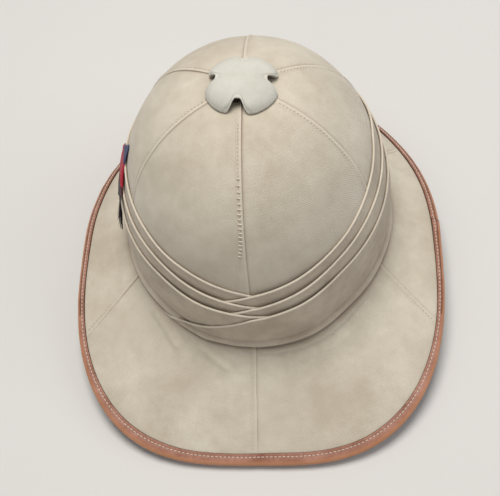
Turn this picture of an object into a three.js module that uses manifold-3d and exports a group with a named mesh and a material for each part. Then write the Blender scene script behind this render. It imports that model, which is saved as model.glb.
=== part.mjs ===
// Pith helmet with a six-gore cloth crown, a broad drooping brim bound in leather, a domed
// ventilator cap, a pleated cloth band whose folds cross at the back and at the front, and a
// cloth flash over the band on the wearer's left side.
// Millimetres. +Z is up, -Y is the front of the helmet and +X the wearer's left. The helmet
// stands on the leather of its brim, and the origin is the middle of its footprint.
import * as THREE from "three";
import { mergeVertices } from "three/addons/utils/BufferGeometryUtils.js";
import Module from "manifold-3d";

// Brim outline, measured to the edge of the cork from the middle of the crown
const brimBack = 187.5;
const brimFront = 171.1;
const brimHalfWidth = 140.8;
const brimWidestSetBack = 11.6; // the widest place lies this far behind the crown's middle
const brimCornerBack = 0.122; // how far the back corners swell past an ellipse, as a share
const brimCornerFront = -0.03;

// Brim heights
const junctionHeight = 49; // where the brim's top meets the crown's wall
const edgeDropBack = 44.6; // from the junction down to the brim's edge
const edgeDropFront = 44.9;
const edgeArch = 27; // how much higher the edge stands at the sides than at the back
const brimFlareBack = 0.25; // the brim starts steep and flattens out, as a share of its drop
const brimFlareFront = 0.1;

// Crown, on the cork's outer face
const crownHeight = 144.6;
const crownHalfWidth = 96.2;
const crownBack = 106.8;
const crownFront = 102.3;
const crownWallPower = 2.36; // above 2, the wall stays upright for longer
const crownTopPower = 2.79; // above 2, the top is flatter

// Walls and clearances
const corkWall = 4.5;
const drill = 1; // the cotton cover, with its glue
const fitGap = 0.3; // between pieces that touch
const seamGap = 0.5; // between two panels of the cover
const crownSeams = [0, 64, 120, 180, 240, 294]; // degrees from the back towards the wearer's left
const brimSeams = [0, 62, 120, 180, 240, 295];

// Ventilator
const ventRadius = 9.6; // hole in the crown's top
const coverSetBack = 2.9; // the gores end this far from the hole
const capRadius = 25.2;
const capHeight = 11.8;
const capWall = 1.6;
const capShoulderPower = 2.1; // above 2, the dome is boxier than half an ellipse
const notchWidth = 11.5;
const notchHeight = 8.5;
const notchReach = 0.55; // a notch cuts in from the rim by this share of the cap's radius
const notchTurns = [6, 96, 186, 271]; // degrees from the back; they aren't quite evenly spaced

// Pleated band. Low and side are the heights of a pleat's folded top edge above the junction, at
// the back and the front and at the side. The climb from one to the other is the faster the
// higher its power. A pleat's tail runs on for so many degrees past the middle and drops by so
// much. Heights and drops are shares of the crown's height.
const pleatCloth = 1; // two thicknesses of folded cotton
const leftPleats = [
  { low: 0.38, side: 0.58, climb: 1.5, tail: 8, drop: 0.034 },
  { low: 0.315, side: 0.48, climb: 1.7, tail: 12, drop: 0.041 },
  { low: 0.263, side: 0.35, climb: 2.2, tail: 16, drop: 0.022 },
];
const rightPleats = [
  { low: 0.377, side: 0.636, climb: 1.1, tail: 16, drop: 0.069 },
  { low: 0.304, side: 0.505, climb: 1.6, tail: 14, drop: 0.066 },
  { low: 0.242, side: 0.373, climb: 2.2, tail: 40, drop: 0.268 },
];
const pleatOverlap = 8; // how far a pleat runs on below the fold of the next one
const crossingFrom = 17; // degrees from the middle where the six pleats lie stacked
const crossingTo = 42; // degrees from the middle where only one side's three are left
const hemFlare = 2.6; // the lowest pleat rolls outwards where it meets the brim
const hemFlareHeight = 15;
const hemFlareStacked = 0.15; // share of the roll that is left where all six pleats lie stacked

// Leather binding over the brim's edge
const leather = 1.3;
const bindingWidth = 8; // how far it reaches in over the brim, above and below
const restFlat = 0.7; // the leather is flattened by this much where the helmet rests

// Cloth flash on the wearer's left, a diamond that lies over the pleats. Its lower corner is frayed.
const flashMiddle = 86; // degrees from the back to its corners above and below
const flashHalfWidth = 23;
const flashHalfHeight = 26;
const flashCorner = 1.5; // half the width that is left at those two corners
const flashCloth = 1.2;
const flashRise = 1.5; // it bends in towards the crown this far above each pleat
const flashDrop = 4.5; // its side corners lie this far below the second bend
const frayLength = 24; // the longest lock of frayed threads
const frayLift = 4; // how far its tip stands away from the pleats
const frayWidth = 4; // at the root of a lock
const frayTip = 1.2;
const frayRoot = 2; // how far a lock reaches up into the flash
const frayRows = 3;
// Place is a share of the flash's half width, from its middle towards the front. Length and lift
// are shares of the longest lock's, and lean is in degrees towards the back, at the tip.
const frayLocks = [
  { place: -0.32, length: 0.42, lean: 3, lift: 0.12 },
  { place: -0.06, length: 1, lean: 8, lift: 1 },
  { place: 0.1, length: 0.6, lean: 2, lift: 0.25 },
  { place: 0.34, length: 0.38, lean: -2, lift: 0.12 },
];

// Facets
const stationStep = 7.5; // degrees round the crown
const closestStations = 0.01;
const probeAngle = 0.5; // steps for finding a surface's normal
const probeHeight = 0.5;
const probeShare = 0.02;
const weld = 1e-4;
const crownRows = 7;
const brimRows = 3;
const pleatRows = 3;
const hemShares = [1, 0.8, 0.6, 0.4, 0.2, 0.08, 0]; // of the lowest pleat's height, from its top down
const capSides = 28;
const capRows = 6;
const archSides = 7;
const flashSteps = 6;

const degrees = THREE.MathUtils.degToRad;
const smooth = (t) => {
  const c = THREE.MathUtils.clamp(t, 0, 1);
  return c * c * (3 - 2 * c);
};

// Angle 0 is the back and 90 the wearer's left, in degrees.
function crownLoop(angle, outset) {
  const a = degrees(angle);
  const half = Math.cos(a) > 0 ? crownBack : crownFront;
  return new THREE.Vector3(
    (crownHalfWidth + outset) * Math.sin(a),
    (half + outset) * Math.cos(a),
    junctionHeight,
  );
}

// The crown's outer face. Height is above the junction.
function crownAt(angle, height) {
  const share = THREE.MathUtils.clamp(height / crownHeight, 0, 1);
  const plan = Math.pow(1 - Math.pow(share, crownTopPower), 1 / crownWallPower);
  const p = crownLoop(angle, 0).multiplyScalar(plan);
  p.z = junctionHeight + share * crownHeight;
  return p;
}

function heightAtPlan(plan) {
  return crownHeight * Math.pow(1 - Math.pow(plan, crownWallPower), 1 / crownTopPower);
}

// Outward normal of a surface given as at(angle, along), by small steps.
function normalOf(at, angle, along, step) {
  const across = at(angle + probeAngle, along).sub(at(angle - probeAngle, along));
  const up = at(angle, along + step).sub(at(angle, along - step));
  return up.cross(across).normalize();
}

function onCrown(angle, height, outset) {
  const inside = THREE.MathUtils.clamp(height, 2 * probeHeight, crownHeight - 2 * probeHeight);
  const normal = normalOf(crownAt, angle, inside, probeHeight);
  return crownAt(angle, height).addScaledVector(normal, outset);
}

// The brim's edge, in plan an ellipse for each half with swollen corners.
function brimEdge(angle) {
  const a = degrees(angle);
  const c = Math.cos(a);
  const corner = c > 0 ? brimCornerBack : brimCornerFront;
  const swell = 1 + corner * Math.sin(2 * a) ** 2;
  const drop = c > 0 ? edgeDropBack : edgeDropFront;
  const reach = c > 0 ? brimBack - brimWidestSetBack : brimFront + brimWidestSetBack;
  return new THREE.Vector3(
    brimHalfWidth * Math.sin(a) * swell,
    brimWidestSetBack + reach * c * swell,
    junctionHeight - drop + edgeArch * Math.abs(Math.sin(a)) ** 3,
  );
}

// The brim's top face. Share 0 is the junction and 1 the edge.
function brimAt(angle, share) {
  const root = crownLoop(angle, 0);
  const edge = brimEdge(angle);
  const backness = (1 + Math.cos(degrees(angle))) / 2;
  const flare = THREE.MathUtils.lerp(brimFlareFront, brimFlareBack, backness);
  const p = root.clone().lerp(edge, share);
  p.z = root.z + (edge.z - root.z) * (share + flare * share * (1 - share));
  return p;
}

function onBrim(angle, share, outset) {
  const inside = THREE.MathUtils.clamp(share, probeShare, 1 - probeShare);
  return brimAt(angle, share).addScaledVector(normalOf(brimAt, angle, inside, -probeShare), outset);
}

function brimWidth(angle) {
  return brimEdge(angle).distanceTo(crownLoop(angle, 0));
}

// A closed solid between two grids of points, grid[station][row]. Where round is true, the
// last station joins the first.
function sheetSolid(outer, inner, round) {
  const rows = outer[0].length;
  const stations = outer.length;
  const position = [];
  for (const grid of [outer, inner]) {
    for (const line of grid) {
      for (const p of line) position.push(p.x, p.y, p.z);
    }
  }
  const at = (side, station, row) => (side * stations + (station % stations)) * rows + row;
  const index = [];
  const quad = (a, b, c, d) => index.push(a, b, c, a, c, d);
  const spans = round ? stations : stations - 1;
  for (let s = 0; s < spans; s++) {
    for (let r = 0; r < rows - 1; r++) {
      quad(at(0, s, r), at(0, s + 1, r), at(0, s + 1, r + 1), at(0, s, r + 1));
      quad(at(1, s, r), at(1, s, r + 1), at(1, s + 1, r + 1), at(1, s + 1, r));
    }
    quad(at(0, s + 1, 0), at(0, s, 0), at(1, s, 0), at(1, s + 1, 0));
    quad(at(0, s, rows - 1), at(0, s + 1, rows - 1), at(1, s + 1, rows - 1), at(1, s, rows - 1));
  }
  if (!round) {
    const last = stations - 1;
    for (let r = 0; r < rows - 1; r++) {
      quad(at(0, 0, r), at(0, 0, r + 1), at(1, 0, r + 1), at(1, 0, r));
      quad(at(0, last, r + 1), at(0, last, r), at(1, last, r), at(1, last, r + 1));
    }
  }
  const geometry = new THREE.BufferGeometry();
  geometry.setAttribute("position", new THREE.Float32BufferAttribute(position, 3));
  geometry.setIndex(index);
  return geometry;
}

// Angles of the stations from one place to another. They include every seam, so that pieces
// which lie on each other turn at the same places.
function stationsBetween(from, to) {
  const list = [from, to];
  const first = Math.ceil(from / stationStep) * stationStep;
  for (let a = first; a < to; a += stationStep) list.push(a);
  for (const seam of [...crownSeams, ...brimSeams]) list.push(seam - 360, seam);
  const inside = list.filter((a) => a >= from && a <= to).sort((a, b) => a - b);
  return inside.filter((a, k) => k === 0 || a - inside[k - 1] > closestStations);
}

function allRound() {
  return stationsBetween(0, 360).slice(0, -1);
}

// Heights of the rows of facets, from the junction up to a hole of the given radius.
function crownHeights(hole, lowest) {
  const top = Math.acos(Math.pow(hole / crownHalfWidth, crownWallPower / 2));
  const list = [];
  for (let r = 0; r <= crownRows; r++) {
    const plan = Math.pow(Math.cos((top * r) / crownRows), 2 / crownWallPower);
    list.push(Math.max(lowest, heightAtPlan(plan)));
  }
  return list;
}

function brimShares(first) {
  const list = [];
  for (let r = 0; r <= brimRows; r++) list.push(Math.max(first, r / brimRows));
  return list;
}

const fawnDrill = new THREE.MeshStandardMaterial({ color: "#c9c0aa", roughness: 0.9 });
const plainCotton = new THREE.MeshStandardMaterial({ color: "#b9ad93", roughness: 0.95 });
const pleatedCotton = new THREE.MeshStandardMaterial({ color: "#b3a88f", roughness: 0.92 });
const whitenedCotton = new THREE.MeshStandardMaterial({ color: "#dcd8c8", roughness: 0.75 });
const tanLeather = new THREE.MeshStandardMaterial({ color: "#b8754c", roughness: 0.55 });
const flashWool = new THREE.MeshStandardMaterial({ color: "#a8263a", roughness: 0.95 });

const helmet = new THREE.Group();
helmet.position.y = -(brimBack - brimFront) / 2;

function addPiece(name, geometry, material) {
  const mesh = new THREE.Mesh(geometry, material);
  mesh.name = name;
  helmet.add(mesh);
}

function addPanels(name, seams, panel) {
  const halfGap = THREE.MathUtils.radToDeg(seamGap / 2 / crownHalfWidth);
  seams.forEach((seam, k) => {
    const next = seams[k + 1] ?? 360;
    addPiece(`${name}_${k + 1}`, panel(seam + halfGap, next - halfGap), fawnDrill);
  });
}

// Cork shell: crown and brim in one, open below for the head and at the top for the vent
function corkShell() {
  const heights = crownHeights(ventRadius, 0).reverse();
  const shares = brimShares(0).slice(1);
  const outer = [];
  const inner = [];
  for (const angle of allRound()) {
    const over = heights.map((h) => onCrown(angle, h, 0));
    const under = heights.slice(0, -1).map((h) => onCrown(angle, h, -corkWall));
    const lip = crownLoop(angle, -corkWall);
    lip.z -= corkWall;
    under.push(lip);
    for (const share of shares) {
      over.push(onBrim(angle, share, 0));
      under.push(onBrim(angle, share, -corkWall));
    }
    outer.push(over);
    inner.push(under);
  }
  return sheetSolid(outer, inner, true);
}

// One gore of the crown's cover, between two seams
function crownGore(from, to) {
  const heights = crownHeights(ventRadius + coverSetBack, drill).reverse();
  const outer = [];
  const inner = [];
  for (const angle of stationsBetween(from, to)) {
    outer.push(heights.map((h) => onCrown(angle, h, fitGap + drill)));
    inner.push(heights.map((h) => onCrown(angle, h, fitGap)));
  }
  return sheetSolid(outer, inner, false);
}

// One panel of the brim's cover. It starts clear of the crown's cover and ends at the cork's edge.
function brimPanel(from, to) {
  const outer = [];
  const inner = [];
  for (const angle of stationsBetween(from, to)) {
    const first = (drill + 2 * fitGap) / brimWidth(angle);
    const shares = brimShares(first);
    outer.push(shares.map((s) => onBrim(angle, s, fitGap + drill)));
    inner.push(shares.map((s) => onBrim(angle, s, fitGap)));
  }
  return sheetSolid(outer, inner, false);
}

// Ventilator cap: a hollow dome with arched notches cut into its rim
function capProfile(radius, height, rows) {
  const points = [];
  for (let r = 0; r <= rows; r++) {
    const a = (Math.PI / 2) * (r / rows);
    const x = radius * Math.pow(Math.cos(a), 2 / capShoulderPower);
    const z = height * Math.pow(Math.sin(a), 2 / capShoulderPower);
    points.push(new THREE.Vector2(r === rows ? 0 : x, z));
  }
  return points;
}

function ventilatorCap(wasm) {
  const dome = capProfile(capRadius, capHeight, capRows);
  const hollow = capProfile(capRadius - capWall, capHeight - capWall, capRows).reverse();
  const lathe = new THREE.LatheGeometry([...hollow, ...dome], capSides);
  lathe.rotateX(Math.PI / 2);
  let solid = toSolid(wasm, lathe);
  const arch = new THREE.Shape();
  const half = notchWidth / 2;
  const spring = notchHeight - half;
  arch.moveTo(-half, -capWall);
  arch.lineTo(half, -capWall);
  arch.lineTo(half, spring);
  arch.absarc(0, spring, half, 0, Math.PI, false);
  arch.lineTo(-half, -capWall);
  for (const turn of notchTurns) {
    const cutter = new THREE.ExtrudeGeometry(arch, {
      depth: capRadius,
      bevelEnabled: false,
      curveSegments: archSides,
    });
    cutter.rotateX(Math.PI / 2);
    cutter.rotateZ(Math.PI);
    cutter.translate(0, capRadius * (1 - notchReach), 0);
    cutter.rotateZ(-THREE.MathUtils.degToRad(turn));
    solid = solid.subtract(toSolid(wasm, cutter));
  }
  const geometry = fromSolid(solid);
  const seat = onCrown(90, heightAtPlan(capRadius / crownBack), drill + 2 * fitGap);
  geometry.translate(0, 0, seat.z);
  return geometry;
}

function toSolid(wasm, geometry) {
  const bare = new THREE.BufferGeometry();
  const source = geometry.index ? geometry.toNonIndexed() : geometry;
  bare.setAttribute("position", source.getAttribute("position"));
  const merged = mergeVertices(bare, weld);
  const corners = merged.index.array;
  const kept = [];
  for (let i = 0; i < corners.length; i += 3) {
    const [a, b, c] = [corners[i], corners[i + 1], corners[i + 2]];
    if (a !== b && b !== c && a !== c) kept.push(a, b, c);
  }
  const mesh = new wasm.Mesh({
    numProp: 3,
    vertProperties: new Float32Array(merged.attributes.position.array),
    triVerts: new Uint32Array(kept),
  });
  return new wasm.Manifold(mesh);
}

function fromSolid(solid) {
  const mesh = solid.getMesh();
  const geometry = new THREE.BufferGeometry();
  geometry.setAttribute("position", new THREE.BufferAttribute(new Float32Array(mesh.vertProperties), 3));
  geometry.setIndex(new THREE.BufferAttribute(new Uint32Array(mesh.triVerts), 1));
  return geometry;
}

// Distance from the cork to a piece that lies over so many layers of pleats
function seatOver(layers) {
  return drill + 2 * fitGap + layers * (pleatCloth + fitGap);
}

// How far out the pleats are stacked, in layers. At the two crossings the pleats of the left and
// the right side alternate. Turn is in degrees from the back, towards the pleat's own side.
function crossingShare(turn) {
  const fromMiddle = Math.min(Math.abs(turn), Math.abs(180 - turn));
  return smooth((crossingTo - fromMiddle) / (crossingTo - crossingFrom));
}

function pleatLayer(order, turn, right) {
  const stacked = crossingShare(turn);
  const own = order * (1 + stacked);
  const onOwnSide = turn >= 0 && turn <= 180;
  if (right && onOwnSide) return own + stacked;
  if (right) return own + 1;
  return own;
}

// Height of a pleat's folded top edge above the junction
function pleatTop(pleat, turn) {
  const fromMiddle = 90 - Math.abs(90 - turn);
  if (fromMiddle < 0) return crownHeight * (pleat.low + (pleat.drop * fromMiddle) / pleat.tail);
  const climbed = 1 - Math.pow(1 - fromMiddle / 90, pleat.climb);
  return crownHeight * THREE.MathUtils.lerp(pleat.low, pleat.side, climbed);
}

// Height of the brim's cover under a point that stands outset from the crown's wall
function hemHeight(angle, outset) {
  const share = outset / brimWidth(angle);
  return onBrim(angle, share, drill + 2 * fitGap).z - junctionHeight;
}

function pleatSection(order, angle, turn, right) {
  const side = right ? rightPleats : leftPleats;
  const pleat = side[order];
  const next = side[order + 1];
  const top = pleatTop(pleat, turn);
  const seat = seatOver(pleatLayer(order, turn, right));
  if (!next) return hemSection(angle, top, seat, crossingShare(turn));
  const nearest = THREE.MathUtils.clamp(turn, 0, 180);
  const bottom = top - pleatTop(pleat, nearest) + pleatTop(next, nearest) - pleatOverlap;
  const outer = [];
  const inner = [];
  for (let r = pleatRows; r >= 0; r--) {
    const height = THREE.MathUtils.lerp(bottom, top, r / pleatRows);
    outer.push(onCrown(angle, height, seat + pleatCloth));
    inner.push(onCrown(angle, height, seat));
  }
  return { outer, inner };
}

// The lowest pleat runs down to the brim and rolls outwards there.
function hemSection(angle, top, seat, stacked) {
  const flare = hemFlare * THREE.MathUtils.lerp(1, hemFlareStacked, stacked);
  const side = (thickness) => {
    const bottom = hemHeight(angle, seat + flare + thickness);
    const edge = Math.max(top, bottom + pleatCloth);
    const points = [];
    for (const share of hemShares) {
      const height = THREE.MathUtils.lerp(bottom, edge, share);
      const roll = flare * Math.max(0, 1 - (height - bottom) / hemFlareHeight) ** 2;
      const p = onCrown(angle, height, seat + thickness + roll);
      p.z += Math.min(height, 0);
      points.push(p);
    }
    return points;
  };
  return { outer: side(pleatCloth), inner: side(0) };
}

function pleatStrip(order, right) {
  const { tail } = (right ? rightPleats : leftPleats)[order];
  const angles = right ? stationsBetween(-180 - tail, tail) : stationsBetween(-tail, 180 + tail);
  const sections = angles.map((a) => pleatSection(order, a, right ? -a : a, right));
  return sheetSolid(sections.map((s) => s.outer), sections.map((s) => s.inner), false);
}

// Cloth flash, which steps down over the three pleats, with the locks of its frayed corner
function flash(wasm) {
  const layers = leftPleats.length;
  const steps = leftPleats.map((pleat, k) => {
    return { height: pleat.side * crownHeight + flashRise, seat: seatOver(k + 1) };
  });
  const middle = steps[1].height - flashDrop;
  const corner = { height: middle, seat: steps[1].seat };
  const top = { height: middle + flashHalfHeight, seat: seatOver(0) };
  const bottom = { height: middle - flashHalfHeight, seat: seatOver(layers) };
  const path = [top, steps[0], steps[1], corner, steps[2], bottom];
  const perDegree = degrees(1) * crownHalfWidth;
  const halfWidth = ({ height }) => {
    const share = 1 - Math.abs(height - middle) / flashHalfHeight;
    return THREE.MathUtils.lerp(flashCorner, flashHalfWidth, share);
  };
  const across = (step, row) => ((2 * step) / flashSteps - 1) * halfWidth(path[row]);
  const patch = flashSheet(flashSteps, (s, row) => flashMiddle + across(s, row) / perDegree, path);
  let solid = toSolid(wasm, patch);
  for (const lock of frayLocks) {
    const aside = lock.place * flashHalfWidth;
    const past = Math.max(0, Math.abs(aside) - flashCorner) / (flashHalfWidth - flashCorner);
    const edge = bottom.height + past * flashHalfHeight;
    const rows = [{ height: edge + frayRoot, seat: bottom.seat, share: 0 }];
    for (let r = 1; r <= frayRows; r++) {
      const share = r / frayRows;
      const seat = bottom.seat + frayLift * lock.lift * share ** 2;
      rows.push({ height: edge - frayLength * lock.length * share, seat, share });
    }
    const angle = (step, row) => {
      const { share } = rows[row];
      const spread = THREE.MathUtils.lerp(frayWidth, frayTip, share);
      const place = aside + (step - 0.5) * spread;
      return flashMiddle + place / perDegree - lock.lean * share ** 2;
    };
    solid = solid.add(toSolid(wasm, flashSheet(1, angle, rows)));
  }
  return fromSolid(solid);
}

function flashSheet(steps, angleOf, path) {
  const outer = [];
  const inner = [];
  for (let step = 0; step <= steps; step++) {
    outer.push(path.map((p, row) => onCrown(angleOf(step, row), p.height, p.seat + flashCloth)));
    inner.push(path.map((p, row) => onCrown(angleOf(step, row), p.height, p.seat)));
  }
  return sheetSolid(outer, inner, false);
}

// Leather binding: a strip folded over the brim's edge, and pressed flat where it rests
function edgeBinding(wasm) {
  const over = drill + 2 * fitGap; // the leather's inner face, above the cork
  const under = -corkWall - fitGap; // and below it
  const outer = [];
  const inner = [];
  for (const angle of allRound()) {
    const mm = 1 / brimWidth(angle);
    const at = (reach, height) => onBrim(angle, 1 + reach * mm, height);
    outer.push([
      at(-bindingWidth, over + leather),
      at(0, over + leather),
      at(fitGap + leather, over - fitGap),
      at(fitGap + leather, under + fitGap),
      at(0, under - leather),
      at(-bindingWidth, under - leather),
    ]);
    inner.push([
      at(-bindingWidth, over),
      at(0, over),
      at(fitGap, over - fitGap),
      at(fitGap, under + fitGap),
      at(0, under),
      at(-bindingWidth, under),
    ]);
  }
  const size = 2 * (brimBack + brimFront);
  const ground = new THREE.BoxGeometry(size, size, size);
  ground.translate(0, 0, restHeight() - size / 2);
  const strip = toSolid(wasm, sheetSolid(outer, inner, true));
  return fromSolid(strip.subtract(toSolid(wasm, ground)));
}

// Height of the flats that the helmet rests on
function restHeight() {
  const foot = -corkWall - fitGap - leather;
  return Math.min(onBrim(0, 1, foot).z, onBrim(180, 1, foot).z) + restFlat;
}

helmet.position.z = -restHeight();

addPiece("cork_shell", corkShell(), plainCotton);
addPanels("crown_gore", crownSeams, crownGore);
addPanels("brim_cover", brimSeams, brimPanel);
leftPleats.forEach((pleat, order) => {
  addPiece(`pleat_left_${order + 1}`, pleatStrip(order, false), pleatedCotton);
  addPiece(`pleat_right_${order + 1}`, pleatStrip(order, true), pleatedCotton);
});

const wasm = await Module();
wasm.setup();
addPiece("edge_binding", edgeBinding(wasm), tanLeather);
addPiece("flash", flash(wasm), flashWool);
addPiece("ventilator_cap", ventilatorCap(wasm), whitenedCotton);

export default helmet;
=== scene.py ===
"""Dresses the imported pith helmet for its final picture: cloth covers with felled seams, a
pleated band, a stitched leather binding, a cloth ventilator cap and a woven flash."""
import math
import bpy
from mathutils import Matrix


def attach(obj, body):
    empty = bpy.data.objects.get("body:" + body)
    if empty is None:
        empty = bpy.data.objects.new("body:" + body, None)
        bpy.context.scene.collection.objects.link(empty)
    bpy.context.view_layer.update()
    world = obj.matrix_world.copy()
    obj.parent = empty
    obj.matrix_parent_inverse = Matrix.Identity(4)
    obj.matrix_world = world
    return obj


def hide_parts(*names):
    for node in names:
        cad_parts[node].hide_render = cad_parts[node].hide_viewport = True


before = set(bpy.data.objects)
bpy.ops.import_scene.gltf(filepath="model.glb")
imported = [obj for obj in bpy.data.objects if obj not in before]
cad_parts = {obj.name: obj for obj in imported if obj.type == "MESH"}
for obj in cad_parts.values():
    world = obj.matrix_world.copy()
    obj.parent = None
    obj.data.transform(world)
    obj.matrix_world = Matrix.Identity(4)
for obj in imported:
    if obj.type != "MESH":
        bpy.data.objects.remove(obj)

from types import SimpleNamespace

import bmesh
import bpy
import numpy as np
from bpy.props import FloatProperty, FloatVectorProperty, PointerProperty
from mathutils import Matrix, Vector

bl_info = {
    "name": "Pith Helmet",
    "version": (1, 0, 0),
    "blender": (4, 5, 0),
    "location": "3D View > Sidebar > Helmet",
    "description": "Builds a cloth-covered pith helmet around its packed solids",
    "category": "Add Mesh",
}

MM = 0.001

# The brim's and the crown's outlines, as the part's source has them. Shares have no unit.
BRIM_CORNER_BACK = 0.122
BRIM_CORNER_FRONT = -0.03
BRIM_FLARE_BACK = 0.25
BRIM_FLARE_FRONT = 0.1
CROWN_WALL_POWER = 2.36
CROWN_TOP_POWER = 2.79
CAP_SHOULDER_POWER = 2.1
CROWN_SEAMS = [0, 64, 120, 180, 240, 294]  # degrees from the back towards the wearer's left
BRIM_SEAMS = [0, 62, 120, 180, 240, 295]
CORK_WALL = 4.5 * MM
DRILL = 1 * MM
FIT_GAP = 0.3 * MM
VENT_RADIUS = 9.6 * MM
COVER_SET_BACK = 2.9 * MM
CAP_WALL = 1.6 * MM
NOTCH_TURNS = (6, 96, 186, 271)  # degrees, not quite evenly spaced
NOTCH_ARCH_POWER = 2.3
NOTCH_SIDE = 0.86  # share of a notch's half width where the rim's corner begins
LOBE_ROUNDING = 2.4 * MM  # radius of that corner
LOBE_TUCK = 2.2 * MM  # it curves in towards the crown by this
LOBE_CURVE = 6 * MM  # over this length of the rim
COVER_FACE = FIT_GAP + DRILL  # outset of the cover's face from the cork
OVER_COVER = DRILL + 2 * FIT_GAP  # outset of what lies on the cover

# Stations across a panel, in millimetres from its own seam and from the next one, and rows down
# the brim, as shares of its width.
PANEL_START = [-0.9, -0.5, -0.1, 0.3, 0.7, 1.1, 1.5, 1.9, 2.3, 2.7]
PANEL_START += [3.2, 3.8, 4.5, 5.4, 6.2, 6.8, 7.4, 8, 8.7, 9.6]
PANEL_END = [0.25, 0.6, 1, 1.6, 2.4, 3.5, 5, 7]
BRIM_ROWS = np.concatenate([np.linspace(0, 0.32, 26), np.linspace(0.335, 1, 34)])
GORE_CLOTH = 0.9 * MM
SEAM_PITCH = 2.6 * MM
SEAM_STITCH = 0.62  # a stitch's share of the pitch
SEAM_THREAD = 0.18 * MM
SEAM_INSET = 0.7 * MM  # from the stitches to the lap's edge

MEND_LOW = 88  # the mend's lowest and highest stitch above the junction, in millimetres
MEND_HIGH = 130
MEND_PITCH = 2.5
MEND_THREAD = 0.38 * MM

# Creases of the brim's cover: points of (angle, millimetres from the crown), then the height and
# the half width in millimetres.
BRIM_CREASES = [
    ([(308, 10.5), (321, 12), (330, 14.5), (341, 14.5), (351, 14), (357, 13)], 2.1, 1.8),
    ([(310, 14), (321, 15.8), (330, 18.3), (341, 18.2), (351, 17.5)], -0.75, 1.8),
    ([(318, 22), (330, 24), (344, 23)], 0.6, 2.4),
    ([(24.5, 13), (12, 21.4), (6, 30.4)], -0.8, 2),
    ([(22, 17), (11, 26)], 1.7, 2.2),
    ([(15.5, 14), (4, 17.5)], -0.75, 1.7),
    ([(40, 10), (33.5, 14.1), (28.5, 19.1)], -0.8, 1.7),
    ([(46, 14), (38, 18), (32, 24)], 1.5, 2.2),
    ([(340, 36), (328, 32), (318, 36)], -0.4, 6),
    ([(82, 12), (72, 16), (64, 24)], 0.6, 4),
    ([(262, 14), (252, 18), (246, 24)], 0.6, 4),
    ([(200, 12), (214, 16), (226, 15)], 0.6, 4),
    ([(134, 12), (146, 16), (158, 14)], 0.6, 4),
]

# Pleats: the heights of the folded top edge at the middle and at the side, how fast it climbs
# between them, and how far its tail runs on past the middle and drops. The heights and drops
# are shares of the crown's height.
LEFT_PLEATS = [
    dict(low=0.38, side=0.58, climb=1.5, tail=8, drop=0.034),
    dict(low=0.315, side=0.48, climb=1.7, tail=12, drop=0.041),
    dict(low=0.263, side=0.35, climb=2.2, tail=16, drop=0.022),
]
RIGHT_PLEATS = [
    dict(low=0.377, side=0.636, climb=1.1, tail=16, drop=0.069),
    dict(low=0.304, side=0.505, climb=1.6, tail=14, drop=0.066),
    dict(low=0.242, side=0.373, climb=2.2, tail=40, drop=0.268),
]
PLEAT_CLOTH = 1 * MM
PLEAT_OVERLAP = 8 * MM
PLEAT_STEP = 0.9  # degrees from one station to the next
BAND_PER_DEGREE = 1.7 * MM
SIDE_EASE = 4  # degrees over which a fold's top rounds off at the middle of the side
CROSSING_FROM = 17
CROSSING_TO = 42
HEM_FLARE = 2.6 * MM
HEM_FLARE_HEIGHT = 15 * MM
HEM_FLARE_STACKED = 0.15
HEM_RIDGE = (3.6 * MM, 2.1 * MM, 1.4 * MM)  # distance above the hem, half width, height
HEM_HOLLOW = (8.6 * MM, 2.2 * MM, 0.7 * MM)

LEATHER = 1.3 * MM
REST_FLAT = 0.7 * MM
BINDING_DRAWN = 8 * MM  # the width that the binding's section is drawn for
BINDING_THREAD = 0.33 * MM
BINDING_JOIN = 267.5  # degrees, where its end laps over its start
LAP_RISE = 0.95 * MM
LAP_FADE = 16 * MM
LAP_SPAN = 12  # degrees
BRIM_RADIUS = 0.15  # about, at the join
DARK_STRETCHES = [(128, 7, 0.35), (232, 5, 0.25)]  # angle, half width in degrees, share

FLASH_MIDDLE = 86
FLASH_CORNER = 1.5 * MM
FLASH_CLOTH = 1.2 * MM
FLASH_DROP = 4.5 * MM
FLASH_RISE = 1.5 * MM

# Locks of the flash's frayed corner: place is a share of its half width towards the front,
# length and lift are shares of the longest lock's, and lean is in degrees towards the back.
FRAY_LOCKS = [
    dict(place=-0.32, length=0.42, lean=3, lift=0.12),
    dict(place=-0.06, length=1, lean=8, lift=1),
    dict(place=0.1, length=0.6, lean=2, lift=0.25),
    dict(place=0.34, length=0.38, lean=-2, lift=0.12),
]

# The camera stands behind and above the helmet and looks down at its back.
CAMERA_EYE = (-0.0516, 0.3723, 0.6126)
CAMERA_WAY = (0.0771, -0.5684, -0.8192)
CAMERA_ROLL = 7.608  # degrees
CAMERA_LENS = 61.98
CAMERA_SHIFT = (-0.0145, -0.0972)
# Soft lamps: name, place, diameter in metres, watts and colour
LAMPS = [
    ("window_above", (0.1, -0.3, 1.9), 1.0, 28, "#fffcf8"),
    ("window_side", (-1.3, 0.2, 1.1), 1.2, 3.5, "#f4f6ff"),
    ("window_back", (0.2, 1.5, 1.2), 1.6, 3, "#fffbf6"),
]
LAMP_AIM = (0, 0, 0.08)
ROOM_LIGHT = ("#eef0f4", 0.27)
FLOOR_HALF = 4.0


def linear(code):
    """A colour given as an sRGB hex code, as linear red, green and blue."""
    shares = [int(code[k : k + 2], 16) / 255 for k in (1, 3, 5)]
    return [c / 12.92 if c <= 0.04045 else ((c + 0.055) / 1.055) ** 2.4 for c in shares]


def length(name, description, default):
    return FloatProperty(name=name, description=description, default=default, unit="LENGTH")


def colour(name, description, code):
    return FloatVectorProperty(
        name=name, description=description, default=linear(code), size=3, subtype="COLOR", min=0, max=1
    )


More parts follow.
